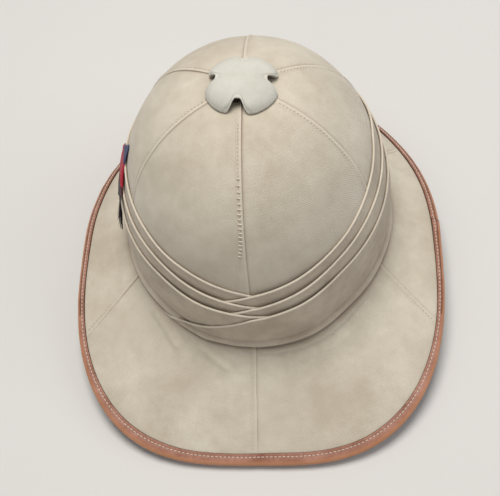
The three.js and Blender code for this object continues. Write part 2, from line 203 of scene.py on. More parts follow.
class HelmetShape(bpy.types.PropertyGroup):
    """Sizes of the helmet, in metres."""

    brim_back: length("Brim back", "From the crown's middle to the cork's edge at the back", 0.1875)
    brim_front: length("Brim front", "From the crown's middle to the cork's edge at the front", 0.1711)
    brim_half_width: length("Brim half width", "From the middle to the cork's edge at the side", 0.1408)
    brim_widest_set_back: length("Widest place", "How far behind the crown's middle it lies", 0.0116)
    junction_height: length("Junction height", "Where the brim meets the crown", 0.049)
    edge_drop_back: length("Edge drop back", "From the junction down to the edge at the back", 0.0446)
    edge_drop_front: length("Edge drop front", "From the junction down to the edge at the front", 0.0449)
    edge_arch: length("Edge arch", "How much higher the edge stands at the sides", 0.027)
    crown_height: length("Crown height", "Above the junction, on the cork", 0.1446)
    crown_half_width: length("Crown half width", "At the junction, on the cork", 0.0962)
    crown_back: length("Crown back", "From its middle to the back, on the cork", 0.1068)
    crown_front: length("Crown front", "From its middle to the front, on the cork", 0.1023)
    cap_radius: length("Cap radius", "Radius of the ventilator cap", 0.0252)
    cap_height: length("Cap height", "Height of the ventilator cap", 0.0118)
    notch_width: length("Notch width", "Width of an air notch in the cap's rim", 0.0145)
    notch_height: length("Notch height", "Height of an air notch", 0.0079)
    fold_radius: length("Fold radius", "Radius of the rolled fold of a pleat", 0.0008)
    seam_band: length("Seam band", "Width of a felled seam", 0.0027)
    back_strip: length("Back strip", "Width of the back seam's lap above the pleats", 0.0078)
    binding_width: length("Binding width", "How far the leather reaches in at the back", 0.0078)
    binding_side: length("Binding width, sides", "How far the leather reaches in at the sides", 0.0062)
    stitch_pitch: length("Stitch pitch", "From one stitch of the binding to the next", 0.003)
    flash_half_width: length("Flash half width", "From its middle to a side corner", 0.023)
    flash_half_height: length("Flash half height", "From its middle to its upper corner", 0.026)
    fray_length: length("Fray length", "The longest lock of frayed threads", 0.024)


class HelmetFinish(bpy.types.PropertyGroup):
    """Colours of the helmet's finishes."""

    drill_light: colour("Drill, bleached", "Fawn drill where the sun has bleached it", "#dbd2c0")
    drill_shade: colour("Drill, kept", "Fawn drill where it has kept its colour", "#c3b8a4")
    # This colour is also painted shade and painted shadow: beside the seams, under the folds, in the hem's
    # hollow and along its foot, round the cap's foot and inside the cap.
    drill_soil_and_shade: colour("Drill, soiled", "Handling marks and dust in the seams", "#836757")
    cotton_light: colour("Pleats, bleached", "The folds of the pleats", "#d6c9b4")
    # Painted highlight: this pale colour on the folds' rolled edges is partly rubbing and partly the light
    # catching them.
    cotton_rubbed_and_lit: colour("Pleats, rubbed", "The rubbed edges of the folds", "#e9dfce")
    cotton_shade: colour("Pleats, kept", "The faces of the pleats", "#b5a691")
    cap_light: colour("Cap, whitened", "Cloth of the cap, whitened over", "#dddbd1")
    cap_shade: colour("Cap, worn", "Where the whitening is rubbed off", "#c8c5b8")
    lining: colour("Lining", "Plain cotton under the brim and in the crown", "#b9ad93")
    # Partly rubbed wear and partly a painted highlight along the binding's outer edge.
    leather_light: colour("Leather, rubbed", "Worn edge of the leather", "#c98c62")
    leather_face: colour("Leather, face", "Top face of the leather", "#bb8875")
    leather_dark: colour("Leather, kept", "Leather where it has kept its dressing", "#8e5c45")
    # This dark colour also paints shade in the stitch groove and on the binding's underside.
    leather_cut_and_shade: colour("Leather, cut edge", "Dark cut edge of the leather", "#46281c")
    thread: colour("Thread", "Waxed linen thread of the binding", "#eddfce")
    flash_blue: colour("Flash, blue", "Blue stripe", "#2b3768")
    flash_red: colour("Flash, red", "Red stripe", "#c4213a")
    flash_maroon: colour("Flash, maroon", "Maroon stripe", "#541a26")
    flash_black: colour("Flash, black", "Black stripe and fringe", "#191823")


def sizes():
    """The helmet's sizes as plain numbers."""
    group = bpy.context.scene.helmet_shape
    return SimpleNamespace(**{name: getattr(group, name) for name in HelmetShape.__annotations__})


def finish_of(name):
    """One of the helmet's colours, with full alpha."""
    return (*getattr(bpy.context.scene.helmet_finish, name), 1)


# Surfaces. Angle 0 is the back and 90 the wearer's left, in degrees; heights are above the
# junction. Angles, heights and shares may be arrays.
def smooth(t):
    """An even step from 0 to 1."""
    c = np.clip(t, 0, 1)
    return c * c * (3 - 2 * c)


def lerp(a, b, t):
    """The value a share t of the way from a to b."""
    return a + (b - a) * t


def bump(x, width):
    """A soft ridge, 1 high at x = 0."""
    return np.exp(-((x / width) ** 2))


def crown_loop(s, angle, outset=0.0):
    """Where the crown meets the brim."""
    a = np.radians(angle)
    half = np.where(np.cos(a) > 0, s.crown_back, s.crown_front)
    x = (s.crown_half_width + outset) * np.sin(a)
    y = (half + outset) * np.cos(a)
    return np.stack(np.broadcast_arrays(x, y, s.junction_height), axis=-1).astype(float)


def crown_at(s, angle, height):
    """A point of the cork's crown."""
    angle, height = np.broadcast_arrays(angle, height)
    share = np.clip(height / s.crown_height, 0, 1)
    plan = (1 - share**CROWN_TOP_POWER) ** (1 / CROWN_WALL_POWER)
    p = crown_loop(s, angle) * plan[..., None]
    p[..., 2] = s.junction_height + share * s.crown_height
    return p


def height_at_plan(s, plan):
    """The crown's height where its plan has shrunk to this share."""
    return s.crown_height * (1 - plan**CROWN_WALL_POWER) ** (1 / CROWN_TOP_POWER)


def brim_edge(s, angle):
    """A point of the brim's outer edge."""
    a = np.radians(angle)
    c = np.cos(a)
    swell = 1 + np.where(c > 0, BRIM_CORNER_BACK, BRIM_CORNER_FRONT) * np.sin(2 * a) ** 2
    drop = np.where(c > 0, s.edge_drop_back, s.edge_drop_front)
    reach = np.where(c > 0, s.brim_back - s.brim_widest_set_back, s.brim_front + s.brim_widest_set_back)
    x = s.brim_half_width * np.sin(a) * swell
    y = s.brim_widest_set_back + reach * c * swell
    z = s.junction_height - drop + s.edge_arch * np.abs(np.sin(a)) ** 3
    return np.stack([x, y, z], axis=-1)


def brim_at(s, angle, share):
    """A point of the brim, from its root, 0, to its edge, 1."""
    angle, share = np.broadcast_arrays(angle, share)
    root = crown_loop(s, angle)
    edge = brim_edge(s, angle)
    flare = lerp(BRIM_FLARE_FRONT, BRIM_FLARE_BACK, (1 + np.cos(np.radians(angle))) / 2)
    p = root + (edge - root) * share[..., None]
    p[..., 2] = root[..., 2] + (edge - root)[..., 2] * (share + flare * share * (1 - share))
    return p


def brim_width(s, angle):
    """The brim's width from root to edge."""
    return np.linalg.norm(brim_edge(s, angle) - crown_loop(s, angle), axis=-1)


def normal_of(s, at, angle, along, step):
    """Outward normal of a surface given as at(s, angle, along), by small steps."""
    across = at(s, angle + 0.5, along) - at(s, angle - 0.5, along)
    up = at(s, angle, along + step) - at(s, angle, along - step)
    n = np.cross(up, across)
    return n / np.linalg.norm(n, axis=-1, keepdims=True)


def crown_normal(s, angle, height):
    """The way out from the crown."""
    inside = np.clip(height, 1 * MM, s.crown_height - 1 * MM)
    return normal_of(s, crown_at, angle, inside, 0.5 * MM)


def on_crown(s, angle, height, outset):
    """A point off the crown by outset."""
    angle, height, outset = np.broadcast_arrays(angle, height, outset)
    return crown_at(s, angle, height) + crown_normal(s, angle, height) * outset[..., None]


def brim_normal(s, angle, share):
    """The way out from the brim's upper face."""
    return normal_of(s, brim_at, angle, np.clip(share, 0.02, 0.98), -0.02)


def on_brim(s, angle, share, outset):
    """A point off the brim by outset."""
    angle, share, outset = np.broadcast_arrays(angle, share, outset)
    return brim_at(s, angle, share) + brim_normal(s, angle, share) * outset[..., None]


def rest_height(s):
    """Height of the flats that the helmet rests on."""
    foot = -CORK_WALL - FIT_GAP - LEATHER
    low = min(on_brim(s, 0.0, 1.0, foot)[2], on_brim(s, 180.0, 1.0, foot)[2])
    return low + REST_FLAT


def placed(s, points):
    """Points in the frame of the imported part."""
    return points + np.array([0, -(s.brim_back - s.brim_front) / 2, -rest_height(s)])


def unevenness(points, wavelength, seed):
    """Smooth, seeded unevenness of about -1 to 1 at each point."""
    rng = np.random.default_rng(seed)
    waves = 9
    total = np.zeros(points.shape[:-1])
    for _ in range(waves):
        way = rng.normal(size=3)
        way /= np.linalg.norm(way)
        turns = points @ way / (wavelength * rng.uniform(0.7, 1.5))
        total += np.sin(2 * math.pi * turns + rng.uniform(0, 2 * math.pi))
    return total / math.sqrt(waves)


# Meshes
def piece_from(name, points, faces, uv=None, marks=None, material=None, wrap=None):
    """A smooth-shaded object from points, faces and values per point. wrap is the number of
    points in the first ring and the cloth's length round the piece, where it closes on itself."""
    mesh = bpy.data.meshes.new(name)
    mesh.from_pydata(points.tolist(), [], faces)
    if uv is not None:
        layer = mesh.uv_layers.new(name="cloth")
        corners = np.empty(len(mesh.loops), dtype=np.int32)
        mesh.loops.foreach_get("vertex_index", corners)
        place = uv[corners].astype(np.float32)
        if wrap:
            closing = slice(-4 * wrap[0], None)
            place[closing, 0] += np.where(corners[closing] < wrap[0], wrap[1], 0)
        layer.data.foreach_set("uv", place.ravel())
    for mark, values in (marks or {}).items():
        attribute = mesh.attributes.new(mark, "FLOAT", "POINT")
        attribute.data.foreach_set("value", values.astype(np.float32).ravel())
    bm = bmesh.new()
    bm.from_mesh(mesh)
    bmesh.ops.remove_doubles(bm, verts=bm.verts, dist=1e-7)
    bmesh.ops.dissolve_degenerate(bm, edges=bm.edges, dist=1e-8)
    bmesh.ops.recalc_face_normals(bm, faces=bm.faces)
    bm.to_mesh(mesh)
    bm.free()
    mesh.polygons.foreach_set("use_smooth", [True] * len(mesh.polygons))
    if material:
        mesh.materials.append(material)
    piece = bpy.data.objects.new(name, mesh)
    bpy.context.scene.collection.objects.link(piece)
    return piece


def loft(name, rings, closed, uv, marks=None, material=None, round_way=0.0):
    """A closed skin through rings[station][point]. The first half of a ring is the outer face
    and the second half the inner face, the other way round. Where closed is true, the last
    station joins the first, and round_way is the cloth's length round the piece."""
    stations, count = rings.shape[:2]
    faces = []
    for a in range(stations if closed else stations - 1):
        b = (a + 1) % stations
        for k in range(count):
            n = (k + 1) % count
            faces.append((a * count + k, b * count + k, b * count + n, a * count + n))
    if not closed:
        last = (stations - 1) * count
        for k in range(count // 2 - 1):
            across = (k, k + 1, count - 2 - k, count - 1 - k)
            faces.append(across)
            faces.append(tuple(last + v for v in across))
    flat_marks = {mark: values.reshape(-1) for mark, values in (marks or {}).items()}
    wrap = (count, round_way) if round_way else None
    return piece_from(name, rings.reshape(-1, 3), faces, uv.reshape(-1, 2), flat_marks, material, wrap)


def stitch_mesh(name, starts, ends, normals, radius, material, rise=0.3 * MM, sink=0.35 * MM):
    """A row of stitches. Each is a short thread that comes up, lies on the cloth and goes down."""
    shares = np.array([0, 0.16, 0.5, 0.84, 1])
    lifts = np.array([-sink, 0.7 * rise, rise, 0.7 * rise, -sink])
    sides = 6
    way = ends - starts
    way /= np.linalg.norm(way, axis=-1, keepdims=True)
    beside = np.cross(normals, way)
    path = starts[:, None] + (ends - starts)[:, None] * shares[None, :, None]
    path = path + normals[:, None] * lifts[None, :, None]
    turn = 2 * math.pi * np.arange(sides) / sides
    ring = (
        beside[:, None, None] * np.cos(turn)[None, None, :, None]
        + normals[:, None, None] * np.sin(turn)[None, None, :, None]
    )
    points = (path[:, :, None] + radius * ring).reshape(-1, 3)
    faces = []
    rows = len(shares)
    for one in range(len(starts)):
        base = one * rows * sides
        for r in range(rows - 1):
            for k in range(sides):
                n = (k + 1) % sides
                a, b = base + r * sides, base + (r + 1) * sides
                faces.append((a + k, a + n, b + n, b + k))
        faces.append(tuple(base + k for k in range(sides)))
        faces.append(tuple(base + (rows - 1) * sides + k for k in range(sides)))
    return piece_from(name, points, faces, material=material)


def along_line(points, pitch, share, normals):
    """Starts, ends and normals of stitches laid along a line of points, share of each pitch."""
    far = run_along(points)
    count = max(1, int(far[-1] / pitch))
    begin = (np.arange(count) + (1 - share) / 2) * far[-1] / count
    stop = begin + share * far[-1] / count
    at = lambda where, values: np.stack([np.interp(where, far, values[:, k]) for k in range(3)], -1)
    middle = at((begin + stop) / 2, normals)
    return at(begin, points), at(stop, points), middle / np.linalg.norm(middle, axis=-1, keepdims=True)


def run_along(points):
    """Distance of each point from the first, along rows of points."""
    steps = np.linalg.norm(np.diff(points, axis=-2), axis=-1)
    return np.concatenate([np.zeros((*steps.shape[:-1], 1)), np.cumsum(steps, axis=-1)], axis=-1)


def two_sided(outer, inner):
    """A ring's values: its outer face's, then its inner face's the other way round."""
    return np.concatenate([outer, inner[:, ::-1]], axis=1)


def ride(piece, slot, *nodes):
    """Ties a piece to the helmet's one body and hides the solids that it stands for. slot is not used."""
    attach(piece, "root")
    if nodes:
        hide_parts(*nodes)
    return piece


# Materials
def add(tree, kind, inputs=None, **settings):
    """Adds a node, with its settings and with a value or a link for each named input."""
    made = tree.nodes.new(kind)
    for key, value in settings.items():
        setattr(made, key, value)
    for key, value in (inputs or {}).items():
        if isinstance(value, bpy.types.NodeSocket):
            tree.links.new(value, made.inputs[key])
        else:
            made.inputs[key].default_value = value
    return made


def blank(name, **shader):
    """A new material with a bare shader, whose sockets hold the given constants."""
    material = bpy.data.materials.new(name)
    material.use_nodes = True
    tree = material.node_tree
    tree.nodes.clear()
    principled = add(tree, "ShaderNodeBsdfPrincipled", shader)
    add(tree, "ShaderNodeOutputMaterial", {"Surface": principled.outputs[0]})
    return material, tree, principled


def cloth_height(tree, uv, pitch, slub):
    """Height of woven cloth: a twill line for each pitch, and uneven threads both ways."""
    turns = 2 * math.pi / pitch
    wander = add(tree, "ShaderNodeTexNoise", {"Vector": uv, "Scale": 0.25 / pitch, "Detail": 2})
    across = (turns * 0.7, turns * 0.7, 0)
    diagonal = add(tree, "ShaderNodeVectorMath", {0: uv, 1: across}, operation="DOT_PRODUCT")
    bend = {0: wander.outputs[0], 1: 7.0, 2: diagonal.outputs["Value"]}
    bent = add(tree, "ShaderNodeMath", bend, operation="MULTIPLY_ADD")
    height = add(tree, "ShaderNodeMath", {0: bent.outputs[0]}, operation="SINE").outputs[0]
    for stretch in ((1 / slub, 0.06 / slub, 1), (0.06 / slub, 1 / slub, 1)):
        drawn = add(tree, "ShaderNodeVectorMath", {0: uv, 1: stretch}, operation="MULTIPLY")
        uneven = {"Vector": drawn.outputs[0], "Scale": 1, "Detail": 3}
        threads = add(tree, "ShaderNodeTexNoise", uneven).outputs[0]
        both = add(tree, "ShaderNodeMath", {0: threads, 1: 3.2, 2: height}, operation="MULTIPLY_ADD")
        height = both.outputs[0]
    return height


def dress(tree, shader, base, layers, rough, relief=None):
    """Give a shader its colour, from a base and the layers over it, its roughness and relief."""
    for factor, over, way in layers:
        sockets = {0: factor, 6: base, 7: over}
        base = add(tree, "ShaderNodeMix", sockets, data_type="RGBA", blend_type=way).outputs[2]
    tree.links.new(base, shader.inputs["Base Color"])
    spread = add(tree, "ShaderNodeMapRange", rough)
    tree.links.new(spread.outputs[0], shader.inputs["Roughness"])
    if relief:
        raised = add(tree, "ShaderNodeBump", relief)
        tree.links.new(raised.outputs[0], shader.inputs["Normal"])


def woven(name, light, shade, soil, pitch, slub, depth, spots=(), sheen=0.2, soil_and_shade_share=0.55, rub_and_highlight=None):
    """Woven cotton. It scatters light with no gloss and a faint nap; the twill and the uneven
    threads give it grain, and wear and dust its patches, with painted shade and painted highlights
    over them. spots are stains, each with its place, its radius and its strength."""
    constants = {"Sheen Weight": sheen, "Sheen Roughness": 0.6, "Specular IOR Level": 0.18}
    material, tree, shader = blank(name, **constants)
    coordinates = add(tree, "ShaderNodeTexCoord")
    uv = coordinates.outputs["UV"]
    place = coordinates.outputs["Object"]
    clouds = {"Vector": place, "Scale": 18, "Detail": 4, "Roughness": 0.6}
    broad = add(tree, "ShaderNodeTexNoise", clouds).outputs[0]
    freckles = {"Vector": place, "Scale": 85, "Detail": 5, "Roughness": 0.7}
    mottle = add(tree, "ShaderNodeTexNoise", freckles).outputs[0]
    both = add(tree, "ShaderNodeMath", {0: mottle, 1: 0.45, 2: broad}, operation="MULTIPLY_ADD")
    contrast = {0: both.outputs[0], 1: 0.52, 2: 0.92, 3: 0.0, 4: 1.0}
    tone = add(tree, "ShaderNodeMapRange", contrast, clamp=True).outputs[0]
    height = cloth_height(tree, uv, pitch, slub)
    threads = {0: height, 1: 1.2, 2: 5.2, 3: 0.965, 4: 1.03}
    grain = add(tree, "ShaderNodeMapRange", threads, clamp=True).outputs[0]
    layers = [(tone, finish_of(shade), "MIX"), (1.0, grain, "MULTIPLY")]
    for where, radius, strength in spots:
        far = add(tree, "ShaderNodeVectorMath", {0: place, 1: where}, operation="DISTANCE")
        edge = {0: mottle, 1: radius * 0.9, 2: far.outputs["Value"]}
        ragged = add(tree, "ShaderNodeMath", edge, operation="MULTIPLY_ADD").outputs[0]
        fade = {0: ragged, 1: radius * 0.35, 2: radius * 1.4, 3: strength, 4: 0.0}
        patch = add(tree, "ShaderNodeMapRange", fade, interpolation_type="SMOOTHSTEP")
        layers.append((patch.outputs[0], finish_of(soil), "MIX"))
    # The first mark is partly dust and partly painted shade and painted shadow in seams, grooves, creases
    # and along contact lines; the second is partly rubbed wear and partly painted highlight on folded
    # edges and ridges.
    for mark, share, code in (("soil_and_shade", soil_and_shade_share, soil), ("wear_and_highlight", 0.75, rub_and_highlight or light)):
        amount = add(tree, "ShaderNodeAttribute", attribute_name=mark).outputs["Fac"]
        factor = add(tree, "ShaderNodeMath", {0: amount, 1: share}, operation="MULTIPLY")
        layers.append((factor.outputs[0], finish_of(code), "MIX"))
    rough = {0: mottle, 3: 0.82, 4: 0.97}
    relief = {"Height": height, "Strength": 0.8, "Distance": depth}
    dress(tree, shader, finish_of(light), layers, rough, relief)
    return material


def thread_material(name, code, soil):
    """Twisted thread. It has a soft gloss, and dust darkens the grooves between its plies."""
    material, tree, shader = blank(name, **{"Specular IOR Level": 0.35, "Sheen Weight": 0.1})
    place = add(tree, "ShaderNodeTexCoord").outputs["Object"]
    speck = add(tree, "ShaderNodeTexNoise", {"Vector": place, "Scale": 900, "Detail": 2}).outputs[0]
    dust = add(tree, "ShaderNodeMath", {0: speck, 1: 0.3}, operation="MULTIPLY").outputs[0]
    layers = [(dust, finish_of(soil), "MIX")]
    relief = {"Height": speck, "Distance": 0.2 * MM}
    dress(tree, shader, finish_of(code), layers, {0: speck, 3: 0.5, 4: 0.75}, relief)
    return material


def leather_material():
    """Bridle leather, dyed and glazed, split to 1.3 mm. The rubbed edge is pale and shiny, and is partly a
    painted highlight; the cut edge is dark, and its colour also paints shade in the stitch groove and
    under the edge; the grain shows as fine cells of about 0.9 mm."""
    constants = {"Specular IOR Level": 0.4, "IOR": 1.5, "Coat Weight": 0.06}
    material, tree, shader = blank("bridle_leather_dyed_and_glazed", **constants)
    place = add(tree, "ShaderNodeTexCoord").outputs["Object"]
    clouds = {"Vector": place, "Scale": 55, "Detail": 5, "Roughness": 0.65}
    broad = add(tree, "ShaderNodeTexNoise", clouds).outputs[0]
    fine = add(tree, "ShaderNodeTexNoise", {"Vector": place, "Scale": 420, "Detail": 3}).outputs[0]
    both = add(tree, "ShaderNodeMath", {0: fine, 1: 0.4, 2: broad}, operation="MULTIPLY_ADD")
    tone = add(tree, "ShaderNodeMapRange", {0: both.outputs[0], 1: 0.5, 2: 0.9}, clamp=True)
    wear_and_highlight = add(tree, "ShaderNodeAttribute", attribute_name="wear_and_highlight").outputs["Fac"]
    soil_and_shade = add(tree, "ShaderNodeAttribute", attribute_name="soil_and_shade").outputs["Fac"]
    # The rubbed colour is partly painted highlight; the cut edge's colour also paints shade.
    layers = [
        (tone.outputs[0], finish_of("leather_dark"), "MIX"),
        (wear_and_highlight, finish_of("leather_light"), "MIX"),
        (soil_and_shade, finish_of("leather_cut_and_shade"), "MIX"),
    ]
    rough = {0: broad, 1: 0.3, 2: 0.7, 3: 0.38, 4: 0.6}
    cells = add(tree, "ShaderNodeTexVoronoi", {"Vector": place, "Scale": 1 / (0.9 * MM)})
    pebbled = {0: fine, 1: 1.2, 2: cells.outputs["Distance"]}
    height = add(tree, "ShaderNodeMath", pebbled, operation="MULTIPLY_ADD").outputs[0]
    relief = {"Height": height, "Strength": 0.6, "Distance": 0.12 * MM}
    dress(tree, shader, finish_of("leather_face"), layers, rough, relief)
    return material


def flash_material(stripes, rib):
    """Worsted wool ribbon, woven in bands and ribbed across. It is deep in colour and matt."""
    constants = {"Sheen Weight": 0.3, "Sheen Roughness": 0.5, "Specular IOR Level": 0.2}
    material, tree, shader = blank("worsted_ribbon_woven_in_bands", **constants)
    uv = add(tree, "ShaderNodeTexCoord").outputs["UV"]
    parts = add(tree, "ShaderNodeSeparateXYZ", {0: uv}).outputs
    fray = add(tree, "ShaderNodeTexNoise", {"Vector": uv, "Scale": 1600, "Detail": 1}).outputs[0]
    edge = {0: fray, 1: 0.5 * MM, 2: parts["Y"]}
    ragged = add(tree, "ShaderNodeMath", edge, operation="MULTIPLY_ADD").outputs[0]
    layers = []
    for begin, code in stripes[1:]:
        past = add(tree, "ShaderNodeMath", {0: ragged, 1: begin}, operation="GREATER_THAN")
        layers.append((past.outputs[0], finish_of(code), "MIX"))
    waves = []
    for way in ("Y", "X"):
        turns = {0: parts[way], 1: 2 * math.pi / rib}
        turned = add(tree, "ShaderNodeMath", turns, operation="MULTIPLY").outputs[0]
        waves.append(add(tree, "ShaderNodeMath", {0: turned}, operation="SINE").outputs[0])
    crossed = {0: waves[1], 1: 0.5, 2: waves[0]}
    height = add(tree, "ShaderNodeMath", crossed, operation="MULTIPLY_ADD").outputs[0]
    # Painted shade: the ribs' grooves are darkened and their crests lightened in the colour.
    shade = add(tree, "ShaderNodeMapRange", {0: height, 1: -1.5, 2: 1.5, 3: 0.72, 4: 1.12})
    layers.append((1.0, shade.outputs[0], "MULTIPLY"))
    relief = {"Height": height, "Distance": 0.2 * MM}
    dress(tree, shader, finish_of(stripes[0][1]), layers, {0: fray, 3: 0.85, 4: 1.0}, relief)
    return material


# Pieces
def row_heights(s, hole, lowest, rows):
    """Heights of rows from a hole in the crown's top down to its foot."""
    top = math.acos((hole / s.crown_half_width) ** (CROWN_WALL_POWER / 2))
    plan = np.cos(top * np.linspace(1, 0, rows)) ** (2 / CROWN_WALL_POWER)
    return np.maximum(lowest, height_at_plan(s, np.minimum(plan, 1)))


def panel_angles(start, end, per_degree, step):
    """Stations of a panel between two seams, close together by its seams. Lengths in metres."""
    a = start + np.array(PANEL_START) * MM / per_degree
    b = end - np.array(PANEL_END)[::-1] * MM / per_degree
    middle = np.linspace(a[-1], b[0], max(3, int((b[0] - a[-1]) * per_degree / step)))
    return np.concatenate([a, middle[1:-1], b])


def panels(seams):
    """Each panel's number, its own seam and the next one."""
    return [(k, *pair) for k, pair in enumerate(zip(seams, [*seams[1:], 360]), 1)]


def topstitch(name, s, lines, thread):
    """Rows of stitches that hold the seams' laps, along lines given by points and normals."""
    rows = [along_line(points, SEAM_PITCH, SEAM_STITCH, normals) for points, normals in lines]
    starts, ends, normals = (np.concatenate(part) for part in zip(*rows))
    piece = stitch_mesh(name, placed(s, starts), placed(s, ends), normals, SEAM_THREAD, thread)
    ride(piece, "cover_cloth")


def felled_seam(from_start, from_end, band, dark):
    """Height of the cloth beside its seams, with painted shadow and painted highlight. A panel's
    own start is turned in and laps over its neighbour; a row of topstitching holds the lap down.
    dark is the share of painted shadow where the panel goes under the next one."""
    lap = 0.2 * MM * (1 - smooth((from_start - band) / (1.0 * MM)))
    turned = 0.24 * MM * bump(from_start - 0.45 * MM, 0.55 * MM)
    rolled = -0.45 * MM * np.clip((0.1 * MM - from_start) / (1.0 * MM), 0, 1) ** 2
    pulled = -0.12 * MM * bump(from_start - (band - 0.6 * MM), 0.45 * MM)
    under = -0.25 * MM * np.exp(-np.maximum(from_end - 0.8 * MM, 0) / (0.8 * MM))
    # Painted shadow where the panel goes under the next one, and a painted shadow line beside the lap's
    # edge.
    soil_and_shade = dark * np.exp(-np.maximum(from_end - 0.9 * MM, 0) / (0.6 * MM))
    soil_and_shade = soil_and_shade + 0.15 * bump(from_start - band - 0.7 * MM, 0.6 * MM)
    # Painted highlight on the turned edge.
    wear_and_highlight = bump(from_start - 0.35 * MM, 0.75 * MM)
    return lap + turned + rolled + pulled + under, soil_and_shade, wear_and_highlight


def crown_band(s, seam, height):
    """Width of a crown seam's lap. At the back it widens to a strip as it nears the pleats."""
    if seam:
        return s.seam_band + 0 * height
    share = smooth((height - 0.39 * s.crown_height) / (0.34 * s.crown_height))
    return lerp(s.back_strip, s.seam_band, share)


def skin(name, s, surface, outsets, angle, along, uv, marks, material):
    """A panel of cloth over a surface, with the outsets of its outer and of its inner face."""
    outer, inner = (surface(s, angle, along, outset) for outset in outsets)
    sides = {mark: two_sided(values, 0 * values) for mark, values in marks.items()}
    rings = placed(s, two_sided(outer, inner))
    piece = loft(name, rings, False, two_sided(uv, uv), sides, material)
    placed(s, outer)
    return piece


def build_shell(s):
    """Cork shell, lined with plain cotton."""
    # Plain weave glued flat: it looks even and dull. Its threads, 0.5 mm apart, are drawn 1.3 mm.
    material = woven(
        "plain_cotton_lining_glued", "lining", "lining", "drill_soil_and_shade",
        1.3 * MM, 0.9 * MM, 0.18 * MM, sheen=0.1,
    )
    angle = np.arange(0, 360, 2.0)[:, None]
    heights = row_heights(s, VENT_RADIUS, 0, 34)[None]
    shares = np.linspace(0, 1, 22)[None, 1:]
    outer = [on_crown(s, angle, heights, 0.0), on_brim(s, angle, shares, 0.0)]
    outer = np.concatenate(outer, axis=1)
    # Inside, three rows turn the corner from the crown to the brim
    crown_in = on_crown(s, angle, heights[:, :-2], -CORK_WALL)
    lip = crown_loop(s, angle, -CORK_WALL)
    lip[..., 2] -= CORK_WALL
    brim_in = on_brim(s, angle, shares[:, 1:], -CORK_WALL)
    before, after = crown_in[:, -1:], brim_in[:, :1]
    turn = [(1 - t) ** 2 * before + 2 * t * (1 - t) * lip + t * t * after for t in (0.3, 0.55, 0.8)]
    inner = np.concatenate([crown_in, *turn, brim_in], axis=1)
    if outer.shape != inner.shape:
        raise RuntimeError("the shell's two faces need the same number of rows")
    rings = two_sided(outer, inner)
    v = run_along(rings)
    u = np.broadcast_to(np.radians(angle) * s.crown_half_width, v.shape)
    girth = 2 * math.pi * s.crown_half_width
    piece = loft("shell_lining", placed(s, rings), True, np.stack([u, v], -1), None, material, girth)
    ride(piece, "shell_lining", "cork_shell")


def build_crown_cover(s, drill, thread):
    """The six gores of the crown, their topstitching and the mend of the back seam."""
    per_degree = math.radians(1) * s.crown_half_width
    heights = row_heights(s, VENT_RADIUS + COVER_SET_BACK, DRILL, 72)[None]
    line_height = np.linspace(0.995, 0.2, 90) * height_at_plan(s, 0.24)
    lines = []
    for number, seam, end in panels(CROWN_SEAMS):
        angle = panel_angles(seam, end, per_degree, 2.1 * MM)[:, None]
        base = crown_at(s, angle, heights)
        radius = np.linalg.norm(base[..., :2], axis=-1)
        from_start = np.radians(angle - seam) * radius
        from_end = np.radians(end - angle) * radius
        band = crown_band(s, seam, heights)
        relief, soil_and_shade, wear_and_highlight = felled_seam(from_start, from_end, band, 1.3 if end == 360 else 0.7)
        outset = COVER_FACE + 0.22 * MM * unevenness(base, 0.045, 10 + number) + relief
        uv = np.stack([np.radians(angle - (seam + end) / 2) * radius, run_along(base)], -1)
        marks = {"soil_and_shade": soil_and_shade, "wear_and_highlight": wear_and_highlight}
        outsets = (outset, outset - GORE_CLOTH)
        name = f"cover_crown_{number}"
        piece = skin(name, s, on_crown, outsets, angle, heights, uv, marks, drill)
        ride(piece, "cover_cloth", f"crown_gore_{number}")
        reach = crown_band(s, seam, line_height) - SEAM_INSET
        out = np.linalg.norm(crown_at(s, seam, line_height)[..., :2], axis=-1)
        where = seam + np.degrees(reach / out)
        line = on_crown(s, where, line_height, COVER_FACE + 0.2 * MM)
        lines.append((line, crown_normal(s, where, line_height)))
    topstitch("stitches_crown", s, lines, thread)
    build_mend(s, thread_material("linen_thread_hand_sewn", "thread", "drill_soil_and_shade"))


def build_mend(s, thread):
    """A ladder of hand stitches across the back seam's lap, where it was sewn down again."""
    height = np.arange(MEND_LOW, MEND_HIGH, MEND_PITCH) * MM
    rng = np.random.default_rng(5)
    per_degree = math.radians(1) * np.linalg.norm(crown_at(s, 0.0, height)[..., :2], axis=-1)
    band = crown_band(s, 0, height)
    near = (band - (2.5 - 0.4 * rng.uniform(size=len(height))) * MM) / per_degree
    far = (band + (0.3 + 0.5 * rng.uniform(size=len(height))) * MM) / per_degree
    starts = placed(s, on_crown(s, near, height, COVER_FACE + 0.45 * MM))
    ends = placed(s, on_crown(s, far, height + 0.25 * MM, COVER_FACE + 0.25 * MM))
    normals = crown_normal(s, near, height)
    piece = stitch_mesh("stitches_mend", starts, ends, normals, MEND_THREAD, thread)
    ride(piece, "cover_cloth")


